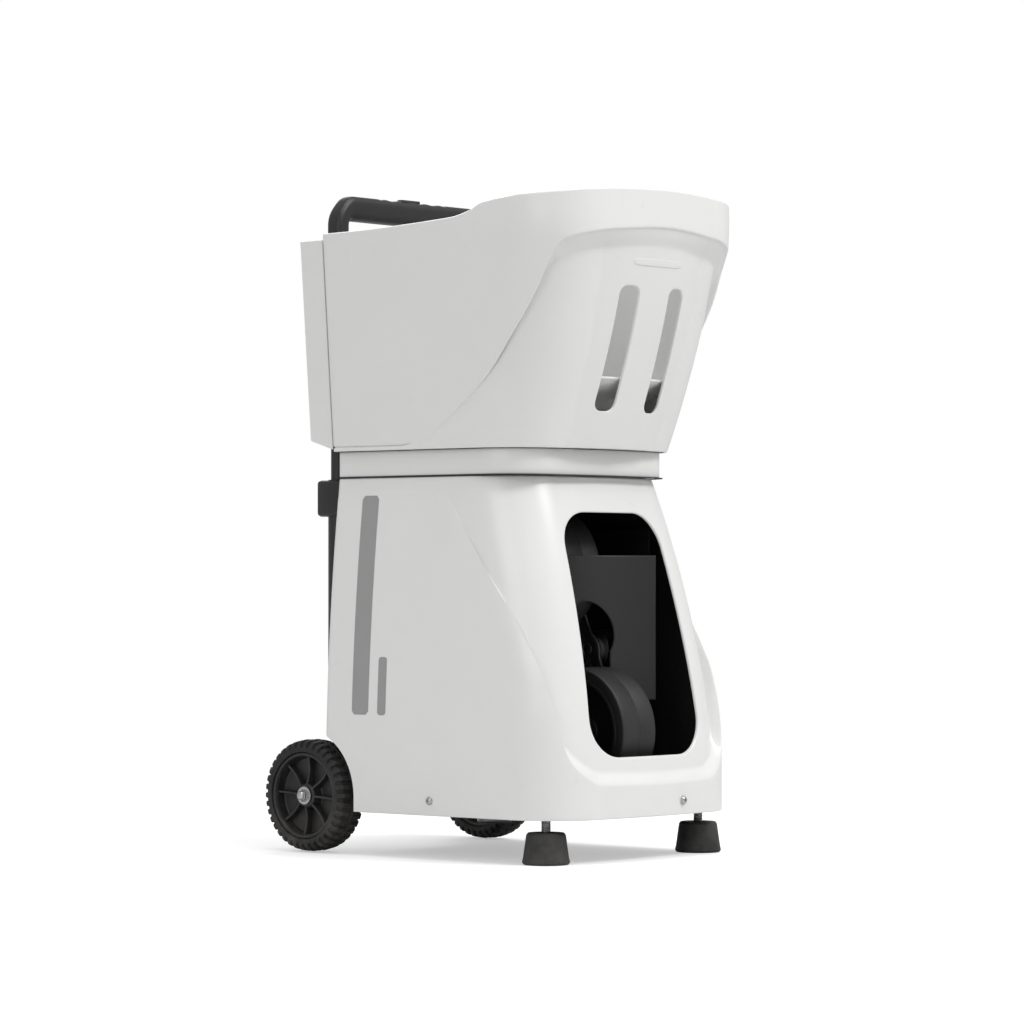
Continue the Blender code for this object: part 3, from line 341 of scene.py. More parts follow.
def boardFinish():
    # circuit board: copper tracks where a brick pattern's joints lie under the green mask
    material = bpy.data.materials.new("circuitBoard")
    material.use_nodes = True
    tree = material.node_tree
    shader = tree.nodes["Principled BSDF"]
    place = addNode(tree, "ShaderNodeTexCoord").outputs["Object"]
    turned = addNode(tree, "ShaderNodeMapping", {"Vector": place, "Rotation": (0, math.pi / 2, 0)})
    tracks = addNode(tree, "ShaderNodeTexBrick", {"Vector": turned.outputs["Vector"], "Scale": 60.0,
                     "Mortar Size": 0.03, "Color1": (0.012, 0.11, 0.045, 1),
                     "Color2": (0.016, 0.14, 0.055, 1), "Mortar": (0.05, 0.26, 0.10, 1)})
    grain = groupNode(tree, grainGroup, vector=place, scale=900.0, pits=0.3)
    colour = mixColour(tree, grain.outputs["Mottle"], tracks.outputs["Color"], (0.01, 0.09, 0.04, 1))
    bump = addNode(tree, "ShaderNodeBump", {"Height": tracks.outputs["Fac"], "Strength": 0.3,
                   "Distance": 0.0002})
    rough = mathNode(tree, "MULTIPLY_ADD", grain.outputs["Mottle"], 0.2, 0.25)
    tree.links.new(colour, shader.inputs["Base Color"])
    tree.links.new(rough, shader.inputs["Roughness"])
    tree.links.new(bump.outputs["Normal"], shader.inputs["Normal"])
    return material


materials = {name: mouldedFinish(name) for name in finishes}
materials.update({name: metalFinish(name) for name in metals})
materials["circuitBoard"] = boardFinish()
print("finishes built:", len(materials))


# mesh helpers
def gridFaces(rows, columns, closedRows=False, closedColumns=False, start=0):
    # quads between neighbouring rows and columns of a grid numbered row by row
    rowEnd = rows if closedRows else rows - 1
    columnEnd = columns if closedColumns else columns - 1
    i, j = np.meshgrid(np.arange(rowEnd), np.arange(columnEnd), indexing="ij")
    nextI, nextJ = (i + 1) % rows, (j + 1) % columns
    corners = (i * columns + j, i * columns + nextJ, nextI * columns + nextJ, nextI * columns + j)
    return start + np.stack([c.ravel() for c in corners], axis=1)


def addPiece(name, points, faces, material, body, replaced=(), slot=None, sharpAngle=32, weld=1e-6,
             lining=None):
    # lining is a second material and the (first, last) face numbers that take it
    mesh = bpy.data.meshes.new(name)
    mesh.from_pydata(np.asarray(points).reshape(-1, 3).tolist(), [], [list(f) for f in faces])
    if lining:
        slots = np.zeros(len(mesh.polygons), np.int32)
        for first, last in lining[1]:
            slots[first:last] = 1
        mesh.polygons.foreach_set("material_index", slots)
    work = bmesh.new()
    work.from_mesh(mesh)
    bmesh.ops.remove_doubles(work, verts=work.verts, dist=weld)
    bmesh.ops.dissolve_degenerate(work, dist=weld / 2, edges=work.edges)
    bmesh.ops.recalc_face_normals(work, faces=work.faces)
    work.to_mesh(mesh)
    work.free()
    mesh.materials.append(materials[material])
    if lining:
        mesh.materials.append(materials[lining[0]])
    mesh.shade_smooth()
    mesh.set_sharp_from_angle(angle=math.radians(sharpAngle))
    piece = bpy.data.objects.new(name, mesh)
    bpy.context.scene.collection.objects.link(piece)
    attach(piece, body)
    if replaced:
        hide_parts(*replaced)
    return piece


def roundCorners(profile, radii, steps=5):
    # a closed polygon with each corner cut by a circular arc of its radius
    profile = np.asarray(profile, float)
    before, after = np.roll(profile, 1, axis=0), np.roll(profile, -1, axis=0)
    rounded = []
    for point, back, forth, radius in zip(profile, before, after, radii):
        if radius <= 0:
            rounded.append(point[None])
            continue
        first = (back - point) / np.linalg.norm(back - point)
        second = (forth - point) / np.linalg.norm(forth - point)
        half = math.acos(max(-1, min(1, float(first @ second)))) / 2
        reach = min(radius / math.tan(half), 0.49 * np.linalg.norm(back - point),
                    0.49 * np.linalg.norm(forth - point))
        radius = reach * math.tan(half)
        middle = point + (first + second) / np.linalg.norm(first + second) * radius / math.sin(half)
        a, b = point + first * reach - middle, point + second * reach - middle
        turn = math.atan2(a[0] * b[1] - a[1] * b[0], a @ b)
        angle = turn * np.linspace(0, 1, steps + 1)
        x = a[0] * np.cos(angle) - a[1] * np.sin(angle)
        y = a[0] * np.sin(angle) + a[1] * np.cos(angle)
        rounded.append(np.stack([x, y], axis=1) + middle)
    return np.concatenate(rounded)


def turnedPoints(profile, axis, centre, count):
    # each (radius, along) point of a profile carried round an axis through centre
    profile = np.asarray(profile, float)
    angle = np.linspace(0, 2 * np.pi, count, endpoint=False)
    first = centre[0] + profile[:, :1] * np.cos(angle)
    second = centre[1] + profile[:, :1] * np.sin(angle)
    along = np.repeat(profile[:, 1:], count, axis=1)
    order = {"X": (along, first, second), "Y": (first, along, second), "Z": (first, second, along)}
    return np.stack(order[axis], axis=2)


def turnedPiece(name, profile, axis, centre, count, material, body, **more):
    points = turnedPoints(profile, axis, centre, count)
    faces = gridFaces(len(points), count, closedRows=True, closedColumns=True)
    return addPiece(name, points, faces, material, body, **more)


def turnedCap(name, profile, axis, centre, count, material, body, **more):
    # like a turned piece, but the profile starts and ends on the axis
    points = turnedPoints(profile, axis, centre, count)
    faces = gridFaces(len(points), count, closedColumns=True)
    return addPiece(name, points, faces, material, body, **more)


def softenedNode(node, material, width=0.0006, segments=2):
    # a copy of a node's mesh, merged, with its hard edges rounded by a Bevel modifier
    source = frame["nodes"][node]
    mesh = source.data.copy()
    mesh.materials.clear()
    work = bmesh.new()
    work.from_mesh(mesh)
    bmesh.ops.remove_doubles(work, verts=work.verts, dist=1e-6)
    bmesh.ops.dissolve_limit(work, angle_limit=math.radians(1), verts=work.verts, edges=work.edges)
    for edge in work.edges:
        edge.smooth = True
    work.to_mesh(mesh)
    work.free()
    mesh.materials.append(materials[material])
    mesh.shade_smooth()
    piece = bpy.data.objects.new(node + "Soft", mesh)
    bpy.context.scene.collection.objects.link(piece)
    bevel = piece.modifiers.new("edges", "BEVEL")
    bevel.width = width
    bevel.segments = segments
    bevel.limit_method = "ANGLE"
    bevel.angle_limit = math.radians(40)
    bevel.harden_normals = True
    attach(piece, source["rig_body"])
    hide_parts(node)
    return piece


def smoothCurve(knots, value):
    # cubic pieces through the knots; the slope at a knot is the harmonic mean of its neighbours'
    xs, ys = np.array(knots, float).T
    value = np.clip(np.asarray(value, float), xs[0], xs[-1])
    step = np.diff(ys) / np.diff(xs)
    slope = np.zeros(len(xs))
    same = step[:-1] * step[1:] > 0
    total = np.where(same, step[:-1] + step[1:], 1)
    slope[1:-1] = np.where(same, 2 * step[:-1] * step[1:] / total, 0)
    i = np.clip(np.searchsorted(xs, value, side="right") - 1, 0, len(xs) - 2)
    span = xs[i + 1] - xs[i]
    t = (value - xs[i]) / span
    return ((1 + 2 * t) * (1 - t) ** 2 * ys[i] + t * (1 - t) ** 2 * span * slope[i]
            + t * t * (3 - 2 * t) * ys[i + 1] + t * t * (t - 1) * span * slope[i + 1])


def ringLength(station):
    # metres along the plan outline, so that a curve keeps its slope where the corners start and end
    return np.interp(station, (-2, -1, 0, 1, 2, 3), (-0.150, -0.016, 0.0, 0.261, 0.381, 0.461))


def ringCurve(knots, station):
    return smoothCurve([(float(ringLength(k)), v) for k, v in knots], ringLength(station))


def edgeInset(distance, radius):
    # how far a rounded edge has turned in, at a distance from the edge
    near = np.clip(radius - distance, 0, radius)
    return radius - np.sqrt(np.maximum(radius ** 2 - near ** 2, 0))


# shells: plan sections shared by the housing and the hopper
plan = {"rearY": 0.1355, "rearCorner": 0.010, "wall": 0.003}


def planPoint(station, halfWidth, depth, corner, bulge, inset=0.0):
    # half outline by station: -2 rear middle, -1 to 0 rear corner, 0 to 1 side,
# 1 to 2 front corner, 3 front middle
    halfWidth, depth, corner = halfWidth - inset, depth - inset, corner - inset
    rear = plan["rearY"] - inset
    rearCorner = np.maximum(plan["rearCorner"] - inset, 0.002)
    front = plan["rearY"] - depth
    rearTurn = np.clip(1 + station, 0, 1) * np.pi / 2
    frontTurn = np.clip(station - 1, 0, 1) * np.pi / 2
    across = np.clip(station - 2, 0, 1)
    sideStart, sideEnd = rear - rearCorner, front + corner
    zones = [station <= -1, station <= 0, station <= 1, station <= 2]
    x = np.select(zones, [(halfWidth - rearCorner) * (station + 2),
                          halfWidth - rearCorner + rearCorner * np.sin(rearTurn),
                          halfWidth + 0 * station,
                          halfWidth - corner + corner * np.cos(frontTurn)],
                  (halfWidth - corner) * (1 - across))
    y = np.select(zones, [rear + 0 * station,
                          rear - rearCorner + rearCorner * np.cos(rearTurn),
                          sideStart + (sideEnd - sideStart) * station,
                          front + corner - corner * np.sin(frontTurn)],
                  front - bulge * (1 - (1 - across) ** 2))
    return x, y


def stationOf(q):
    # ring place q: 0 front middle, 2 to 3 right side, 5 rear middle, -2.5 and 7.5 left side
    station = np.where(q > 5, q - 7, 3 - np.abs(q))
    side = np.where((q > 5) | (q < 0), -1.0, 1.0)
    return station, side


def ringColumns(rightHalf):
    # whole ring of columns from those of the right half, mirrored, opened at the left side
    rightHalf = np.unique(np.round(rightHalf, 6))
    left = 10 - rightHalf[(rightHalf > 2.5)]
    left = np.where(left >= 7.5, left - 10, left)
    frontLeft = -rightHalf[(rightHalf > 0) & (rightHalf <= 2.5)]
    ring = np.concatenate([frontLeft, left[left < 0], rightHalf, left[left > 5]])
    return np.unique(np.round(ring, 6))


def outlineRing(corners, radii, count=900):
    # dense closed outline with rounded corners, evenly spaced by length, and its outward normals
    loop = roundCorners(corners, radii, 16)
    closed = np.vstack([loop, loop[:1]])
    length = np.concatenate([[0], np.cumsum(np.linalg.norm(np.diff(closed, axis=0), axis=1))])
    even = np.linspace(0, length[-1], count, endpoint=False)
    points = np.stack([np.interp(even, length, closed[:, k]) for k in (0, 1)], axis=1)
    along = np.roll(points, -1, axis=0) - np.roll(points, 1, axis=0)
    normal = np.stack([along[:, 1], -along[:, 0]], axis=1)
    normal /= np.linalg.norm(normal, axis=1)[:, None]
    middle = points.mean(axis=0)
    if ((points - middle) * normal).sum() < 0:
        normal = -normal
    return points, normal


def shellWithHoles(columns, rows, outerPlace, innerPlace, holes, ringSteps=7, lip=0.0016, lipSteps=4):
    # outer and inner grids over (q, w), joined at top and bottom; each hole is a block of cells
    # taken out and refilled by rings that run from the block's edge to the hole's own outline,
    # and a rounded lip that turns through the wall
    q, w = np.meshgrid(columns, rows)
    count = q.size
    points = [outerPlace(q, w).reshape(-1, 3), innerPlace(q, w).reshape(-1, 3)]
    faces = gridFaces(len(rows), len(columns), closedColumns=True)
    keep = np.ones((len(rows) - 1, len(columns)), bool)
    rings = []
    for hole in holes:
        i0, i1 = np.searchsorted(columns, hole["q"])
        j0, j1 = np.searchsorted(rows, hole["w"])
        keep[j0:j1, i0:i1] = False
        loop = ([(j0, i) for i in range(i0, i1)] + [(j, i1) for j in range(j0, j1)]
                + [(j1, i) for i in range(i1, i0, -1)] + [(j, i0) for j in range(j1, j0, -1)])
        j, i = np.array(loop).T
        rings.append((hole, j * len(columns) + i, columns[i], rows[j]))
    faces = faces[keep.ravel()]
    allFaces = [faces, faces + count]
    inside = [(len(faces), 2 * len(faces))]
    total = 2 * count
    edge = np.arange(len(columns))
    for row in (0, len(rows) - 1):
        start = row * len(columns) + edge
        after = row * len(columns) + (edge + 1) % len(columns)
        allFaces.append(np.stack([start, after, after + count, start + count], axis=1))
    for hole, index, blockQ, blockW in rings:
        outline, normal = outlineRing(hole["corners"], hole["radii"])
        middle = (outline.max(axis=0) + outline.min(axis=0)) / 2
        half = (outline.max(axis=0) - outline.min(axis=0)) / 2
        blockPlane = hole["toPlane"](outerPlace(blockQ, blockW))
        away = (blockPlane - middle) / half
        outlineAngle = np.unwrap(np.arctan2(*((outline - middle) / half).T[::-1]))
        direction = np.sign(outlineAngle[-1] - outlineAngle[0])
        spread = np.arctan2(away[:, 1], away[:, 0])
        base = outlineAngle[0]
        offset = np.mod((spread - base) * direction, 2 * np.pi)
        place = np.interp(offset, np.abs(outlineAngle - base), np.arange(len(outline)))
        nearest = np.round(place).astype(int) % len(outline)
        rim, out = outline[nearest], normal[nearest]
        layers = []
        far = hole["fromPlane"](rim + out * lip)
        for t in np.linspace(0, 1, ringSteps + 1)[1:]:
            eased = 1 - (1 - t) ** 1.25
            qq, ww = blockQ + (far[0] - blockQ) * eased, blockW + (far[1] - blockW) * eased
            layers.append(outerPlace(qq, ww))
        for turn in np.linspace(0, np.pi / 2, lipSteps + 1)[1:]:
            qq, ww = hole["fromPlane"](rim + out * lip * (1 - math.sin(turn)))
            outer, inner = outerPlace(qq, ww), innerPlace(qq, ww)
            thick = np.linalg.norm(inner - outer, axis=1)[:, None]
            layers.append(outer + (inner - outer) * lip * (1 - math.cos(turn)) / thick)
        nearRim = hole["fromPlane"](rim)
        for t in np.linspace(0, 1, ringSteps + 1)[:-1]:
            qq, ww = nearRim[0] + (blockQ - nearRim[0]) * t, nearRim[1] + (blockW - nearRim[1]) * t
            layers.append(innerPlace(qq, ww))
        size = len(index)
        numbers = [index] + [total + k * size + np.arange(size) for k in range(len(layers))]
        numbers.append(index + count)
        points.extend(layers)
        total += len(layers) * size
        for first, second in zip(numbers[:-1], numbers[1:]):
            allFaces.append(np.stack([first, np.roll(first, -1), np.roll(second, -1), second], axis=1))
        end = sum(len(f) for f in allFaces)
        inside.append((end - ringSteps * size, end))
    return np.concatenate(points), np.concatenate(allFaces), inside


# lower housing
housing = {
    "bottom": 0.046, "top": 0.4031, "halfWidth": 0.1555, "taper": 0.022,
    "skirt": ((0.13, 0.336), (0.19, 0.330), (0.236, 0.316), (0.273, 0.302), (0.313, 0.290), (0.402, 0.262)),
    "faceDepth": 0.330, "faceLean": 0.074, "corner": 0.065, "bulge": 0.005,
    "crease": ((0.8, 0.385), (0.905, 0.348), (0.986, 0.3136), (1.18, 0.273), (1.295, 0.236),
               (1.42, 0.190), (1.62, 0.122), (1.84, 0.102), (2, 0.095), (3, 0.093)),
    "band": ((0.8, 0.004), (1.7, 0.014)), "edgeRadius": 0.0012,
    "windowCorners": ((-0.092, 0.109), (0.092, 0.109), (0.078, 0.365), (-0.078, 0.365)),
    "windowRadii": (0.040, 0.040, 0.040, 0.040), "windowLip": 0.0022,
    "rearOpening": ((-0.080, 0.062), (0.080, 0.062), (0.080, 0.285), (-0.080, 0.285)),
    "archCentre": (0.1595, 0.061), "archRadius": 0.071, "archInner": 0.1165,
}


def housingHalf(z):
    share = np.maximum((z - housing["bottom"]) / (housing["top"] - housing["bottom"]), 0)
    return housing["halfWidth"] - housing["taper"] * share ** 2


def housingFace(station, z, inset=0.0):
    share = np.maximum((z - housing["bottom"]) / (housing["top"] - housing["bottom"]), 0)
    halfWidth = housingHalf(z) - 0.006 * (1 - share)
    depth = housing["faceDepth"] - housing["faceLean"] * share ** 1.75
    return planPoint(station, halfWidth, depth, housing["corner"], housing["bulge"], inset)


def housingSkirt(station, z, inset=0.0):
    depth = smoothCurve(housing["skirt"], z)
    return planPoint(station, housingHalf(z), depth, housing["corner"], housing["bulge"], inset)


def archHeight(station):
    # lower edge of the shell: level, but up and over each wheel on a circle about the axle
    x, y = planPoint(station, housing["halfWidth"], 0.336, housing["corner"], housing["bulge"])
    centreY, centreZ = housing["archCentre"]
    reach = housing["archRadius"] ** 2 - (y - centreY) ** 2
    inside = (reach > 0) & (x > housing["archInner"]) & (station < 0.5)
    return np.where(inside, centreZ + np.sqrt(np.maximum(reach, 0)), housing["bottom"])


def housingHeight(q, w):
    # w 0 to 1: lower edge up to the band; 1 to 2: the band under the crease; 2 to 3: crease to the top
    station, side = stationOf(q)
    low, crease = archHeight(station), ringCurve(housing["crease"], station)
    band = ringCurve(housing["band"], station)
    z = np.select([w <= 1, w <= 2], [low + (crease - band - low) * w, crease - band * (2 - w)],
                  crease + (housing["top"] - crease) * (w - 2))
    return station, side, z


def housingOuter(q, w):
    # skirt below the crease, recessed face above it, and a straight ramp with eased ends between
    station, side, z = housingHeight(q, w)
    ramp = np.clip(w - 1, 0, 1)
    ramp = np.where(ramp < 0.5, 0.5 * (2 * ramp) ** 1.35, 1 - 0.5 * (2 - 2 * ramp) ** 1.35)
    turnedIn = (edgeInset(housing["top"] - z, housing["edgeRadius"])
                + edgeInset(z - housing["bottom"], 0.0010))
    xSkirt, ySkirt = housingSkirt(station, z, turnedIn)
    xFace, yFace = housingFace(station, z, turnedIn)
    x = xSkirt + (xFace - xSkirt) * ramp
    y = ySkirt + (yFace - ySkirt) * ramp
    return np.stack([x * side, y, z], axis=-1)


def housingInner(q, w):
    station, side, z = housingHeight(q, w)
    x, y = housingFace(station, z, plan["wall"])
    return np.stack([x * side, y, z], axis=-1)


def frontPlane(points):
    return points[..., (0, 2)]


def windowParameters(plane):
    # (x, z) in front of the machine back to ring place and row
    x, z = plane[:, 0], plane[:, 1]
    share = (z - housing["bottom"]) / (housing["top"] - housing["bottom"])
    flat = housingHalf(z) - 0.006 * (1 - share) - housing["corner"]
    beyond = np.clip((np.abs(x) - flat) / housing["corner"], 0, 1)
    station = np.where(np.abs(x) <= flat, 3 - np.abs(x) / flat, 1 + np.arccos(beyond) * 2 / np.pi)
    crease = ringCurve(housing["crease"], station)
    return np.sign(x) * (3 - station), 2 + (z - crease) / (housing["top"] - crease)


def rearParameters(plane):
    x, z = plane[:, 0], plane[:, 1]
    crease = ringCurve(housing["crease"], -2.0) - ringCurve(housing["band"], -2.0)
    return (5 - x / (housingHalf(z) - plan["rearCorner"]),
            (z - housing["bottom"]) / (crease - housing["bottom"]))


def buildHousing():
    archTurn = np.linspace(0, math.radians(61.2), 16)
    archY = housing["archCentre"][0] - housing["archRadius"] * np.cos(archTurn)
    archStations = (0.1255 - archY) / 0.261
    edgeStation = -2 + housing["archInner"] / (housing["halfWidth"] - plan["rearCorner"])
    stations = np.concatenate([
        np.linspace(-2, -1.40, 16), [-1.34, -1.27, edgeStation - 0.0002, edgeStation + 0.0002, -1.1, -1.0],
        np.linspace(-1, 0, 9), archStations - 0.00002, [archStations[0] + 0.0002],
        np.linspace(0.17, 0.75, 14), np.linspace(0.78, 2, 52), np.linspace(2, 3, 26)])
    columns = ringColumns(3 - stations)
    lowRows = np.concatenate([[0, 0.0008, 0.0017, 0.0028], np.linspace(0.008, 1, 40)])
    bandRows = np.linspace(1, 2, 9)
    tops = 1 - np.array([0, 0.0002, 0.0006, 0.0013, 0.0022, 0.0034]) / 0.309
    highRows = np.concatenate([[0.008, 0.02], np.linspace(0.035, 0.975, 50), tops])
    rows = np.unique(np.round(np.concatenate([lowRows, bandRows, 2 + highRows]), 6))
    frontHole = {"q": (-1.27, 1.27), "w": (2.008, 2.97), "corners": housing["windowCorners"],
                 "radii": housing["windowRadii"], "toPlane": frontPlane, "fromPlane": windowParameters}
    rearHole = {"q": (5 - 0.62, 5 + 0.62), "w": (0.02, 0.80), "corners": housing["rearOpening"],
                "radii": (0.008,) * 4, "toPlane": frontPlane, "fromPlane": rearParameters}
    points, faces, inside = shellWithHoles(columns, rows, housingOuter, housingInner,
                                           (frontHole, rearHole), lip=housing["windowLip"])
    return addPiece("housingShell", points, faces, "whiteShell", "housing", replaced=("lower_housing",),
                    slot="white_abs", sharpAngle=40, lining=("darkLiner", inside))


buildHousing()
print("lower housing built")


# hopper
hopper = {
    "bottom": 0.432, "halfLow": 0.1428, "halfHigh": 0.160, "rimRear": 0.666,
    "cornerOuter": 0.080, "cornerFace": 0.070, "faceBulge": 0.012, "rimBulge": 0.006,
    "edge": ((0.4, 0.437), (0.523, 0.441), (0.733, 0.4715), (0.924, 0.5115), (1.148, 0.5636),
             (1.306, 0.600), (1.384, 0.626), (1.504, 0.643), (1.77, 0.652), (2, 0.656), (3, 0.661)),
    "fillet": ((0.4, 0.003), (1.3, 0.020), (2, 0.020)),
    "rim": ((0, 0.666), (0.687, 0.6726), (0.798, 0.679), (0.862, 0.686), (1.5, 0.694),
            (2, 0.699), (3, 0.7015)),
    "slotCentre": 0.038, "slotHalf": 0.0140, "slotLow": 0.471, "slotHigh": 0.601, "slotCorner": 0.010,
    "lipRadius": 0.0014,
}


def hopperHalf(z):
    share = (z - hopper["bottom"]) / (hopper["rimRear"] - hopper["bottom"])
    return hopper["halfLow"] + (hopper["halfHigh"] - hopper["halfLow"]) * np.minimum(share, 1)


def hopperFace(station, z, inset=0.0):
    share = np.clip((z - hopper["bottom"]) / 0.225, 0, 1)
    depth = 0.273 + 0.060 * (1 - (1 - share) ** 1.5)
    return planPoint(station, hopperHalf(z) - 0.008 * share, depth, hopper["cornerFace"],
                     hopper["faceBulge"], inset)


def hopperPanel(station, z, inset=0.0):
    depth = 0.350 - 0.12 * np.maximum(0.650 - z, 0)
    return planPoint(station, hopperHalf(z), depth, hopper["cornerOuter"], hopper["rimBulge"], inset)


def hopperHeight(q, w):
    # w 0 to 1: floor up to the fillet; 1 to 2: the concave fillet; 2 to 3: panel edge up to the rim
    station, side = stationOf(q)
    edge, fillet = ringCurve(hopper["edge"], station), ringCurve(hopper["fillet"], station)
    rim = ringCurve(hopper["rim"], station)
    z = np.select([w <= 1, w <= 2], [hopper["bottom"] + (edge - fillet - hopper["bottom"]) * w,
                                     edge - fillet * (2 - w)], edge + (rim - edge) * (w - 2))
    return station, side, z, edge, rim


def hopperOuter(q, w):
    # the ledge under the panel's edge is a straight slope, eased where it leaves the face
    station, side, z, edge, rim = hopperHeight(q, w)
    sweep = np.clip(w - 1, 0, 1)
    share = np.where(sweep < 0.2, sweep ** 2 / 0.36, (sweep - 0.1) / 0.9)
    turnedIn = edgeInset(rim - z, hopper["lipRadius"]) + edgeInset(z - hopper["bottom"], 0.0012)
    lipInset = np.where(w >= 2, edgeInset(z - edge, 0.0022), 0.0022) * share
    xFace, yFace = hopperFace(station, z, turnedIn)
    xPanel, yPanel = hopperPanel(station, z, turnedIn + lipInset)
    x = xFace + (xPanel - xFace) * share
    y = yFace + (yPanel - yFace) * share
    return np.stack([x * side, y, z], axis=-1)


def hopperInner(q, w):
    station, side, z, edge, rim = hopperHeight(q, w)
    x, y = hopperFace(station, z, plan["wall"] - edgeInset(rim - z, hopper["lipRadius"]))
    return np.stack([x * side, y, z], axis=-1)


def slotParameters(plane):
    x, z = plane[:, 0], plane[:, 1]
    share = np.clip((z - hopper["bottom"]) / 0.225, 0, 1)
    flat = hopperHalf(z) - 0.008 * share - hopper["cornerFace"]
    station = 3 - np.abs(x) / flat
    edge, fillet = ringCurve(hopper["edge"], station), ringCurve(hopper["fillet"], station)
    return np.sign(x) * (3 - station), (z - hopper["bottom"]) / (edge - fillet - hopper["bottom"])


def buildHopper():
    stations = np.concatenate([
        np.linspace(-2, -1, 14), np.linspace(-1, 0, 9), np.linspace(0.04, 0.40, 8),
        np.linspace(0.42, 1, 34), np.linspace(1, 2, 44), np.linspace(2, 3, 42)])
    columns = ringColumns(3 - stations)
    lows = np.array([0, 0.0003, 0.0008, 0.0015, 0.0025]) / 0.2
    faceRows = np.concatenate([lows, np.linspace(0.025, 1, 44)])
    filletRows = 1 + np.linspace(0, 1, 13)
    lipRows = 2 + np.array([0.001, 0.004, 0.010, 0.020, 0.035, 0.055])
    panelRows = 2 + np.linspace(0.09, 0.96, 14)
    topRows = 3 - np.array([0, 0.0002, 0.0006, 0.0012, 0.0020]) / 0.045
    rows = np.unique(np.round(np.concatenate([faceRows, filletRows, lipRows, panelRows, topRows]), 6))
    low, high, half = hopper["slotLow"], hopper["slotHigh"], hopper["slotHalf"]
    holes = []
    for side in (-1, 1):
        middle = side * hopper["slotCentre"]
        corners = ((middle - half, low), (middle + half, low),
                   (middle + half, high), (middle - half, high))
        reach = sorted((side * 0.14, side * 0.86))
        holes.append({"q": reach, "w": (0.08, 0.93), "corners": corners,
                      "radii": (hopper["slotCorner"],) * 4, "toPlane": frontPlane,
                      "fromPlane": slotParameters})
    points, faces, inside = shellWithHoles(columns, rows, hopperOuter, hopperInner, holes, ringSteps=6,
                                           lip=0.0012)
    return addPiece("hopperBody", points, faces, "whiteShell", "housing", replaced=("hopper_shell",),
                    slot="white_abs", sharpAngle=40, lining=("whiteLiner", inside))


buildHopper()
print("hopper built")


# neck ring, gasket and rear cover
neck = {
    "low": 0.4046, "high": 0.4317, "halfWidth": 0.1335, "depth": 0.262, "corner": 0.055, "bulge": 0.005,
    "edge": 0.0009, "gasketLow": 0.4033, "gasketHigh": 0.4044, "gasketGrow": 0.0015,
    "gasketInset": 0.0045, "gasketEdge": 0.0004,
}
cover = {
    "low": 0.4345, "high": 0.660, "near": 0.1358, "far": 0.1685, "drop": 0.010, "edge": 0.003,
    "wall": 0.003, "narrower": 0.004, "tubeX": 0.1129, "tubeY": 0.1515, "hole": 0.0115,
}


def ringStations():
    return ringColumns(3 - np.concatenate([np.linspace(-2, -1, 6), np.linspace(-1, 0, 9),
                                           np.linspace(0.1, 0.9, 6), np.linspace(1, 2, 26),
                                           np.linspace(2, 3, 10)]))


def planRing(profile, size):
    # each (inset, height) point of a closed profile carried round the plan outline
    station, side = stationOf(ringStations())
    rows = []
    for inset, z in profile:
        x, y = planPoint(station, *size, inset)
        rows.append(np.stack([x * side, y, np.full_like(x, z)], axis=1))
    points = np.stack(rows)
    return points, gridFaces(len(rows), points.shape[1], closedRows=True, closedColumns=True)


def buildNeck():
    size = (neck["halfWidth"], neck["depth"], neck["corner"], neck["bulge"])
    low, high, wall = neck["low"], neck["high"], plan["wall"]
    profile = roundCorners([(0, low), (0, high), (wall, high), (wall, low)], [neck["edge"]] * 4, 3)
    addPiece("neckRing", *planRing(profile, size), "whiteShell", "housing", replaced=("hopper_collar",),
             slot="white_abs")
    grow = neck["gasketGrow"]
    low, high = neck["gasketLow"], neck["gasketHigh"]
    size = (neck["halfWidth"] + grow, neck["depth"] + 0.004, neck["corner"] + 0.001, neck["bulge"])
    inset = neck["gasketInset"]
    profile = roundCorners([(0, low), (0, high), (inset, high), (inset, low)], [neck["gasketEdge"]] * 4, 3)
    addPiece("seamSeal", *planRing(profile, size), "gripRubber", "housing", replaced=("seam_gasket",),
             slot="black_rubber")


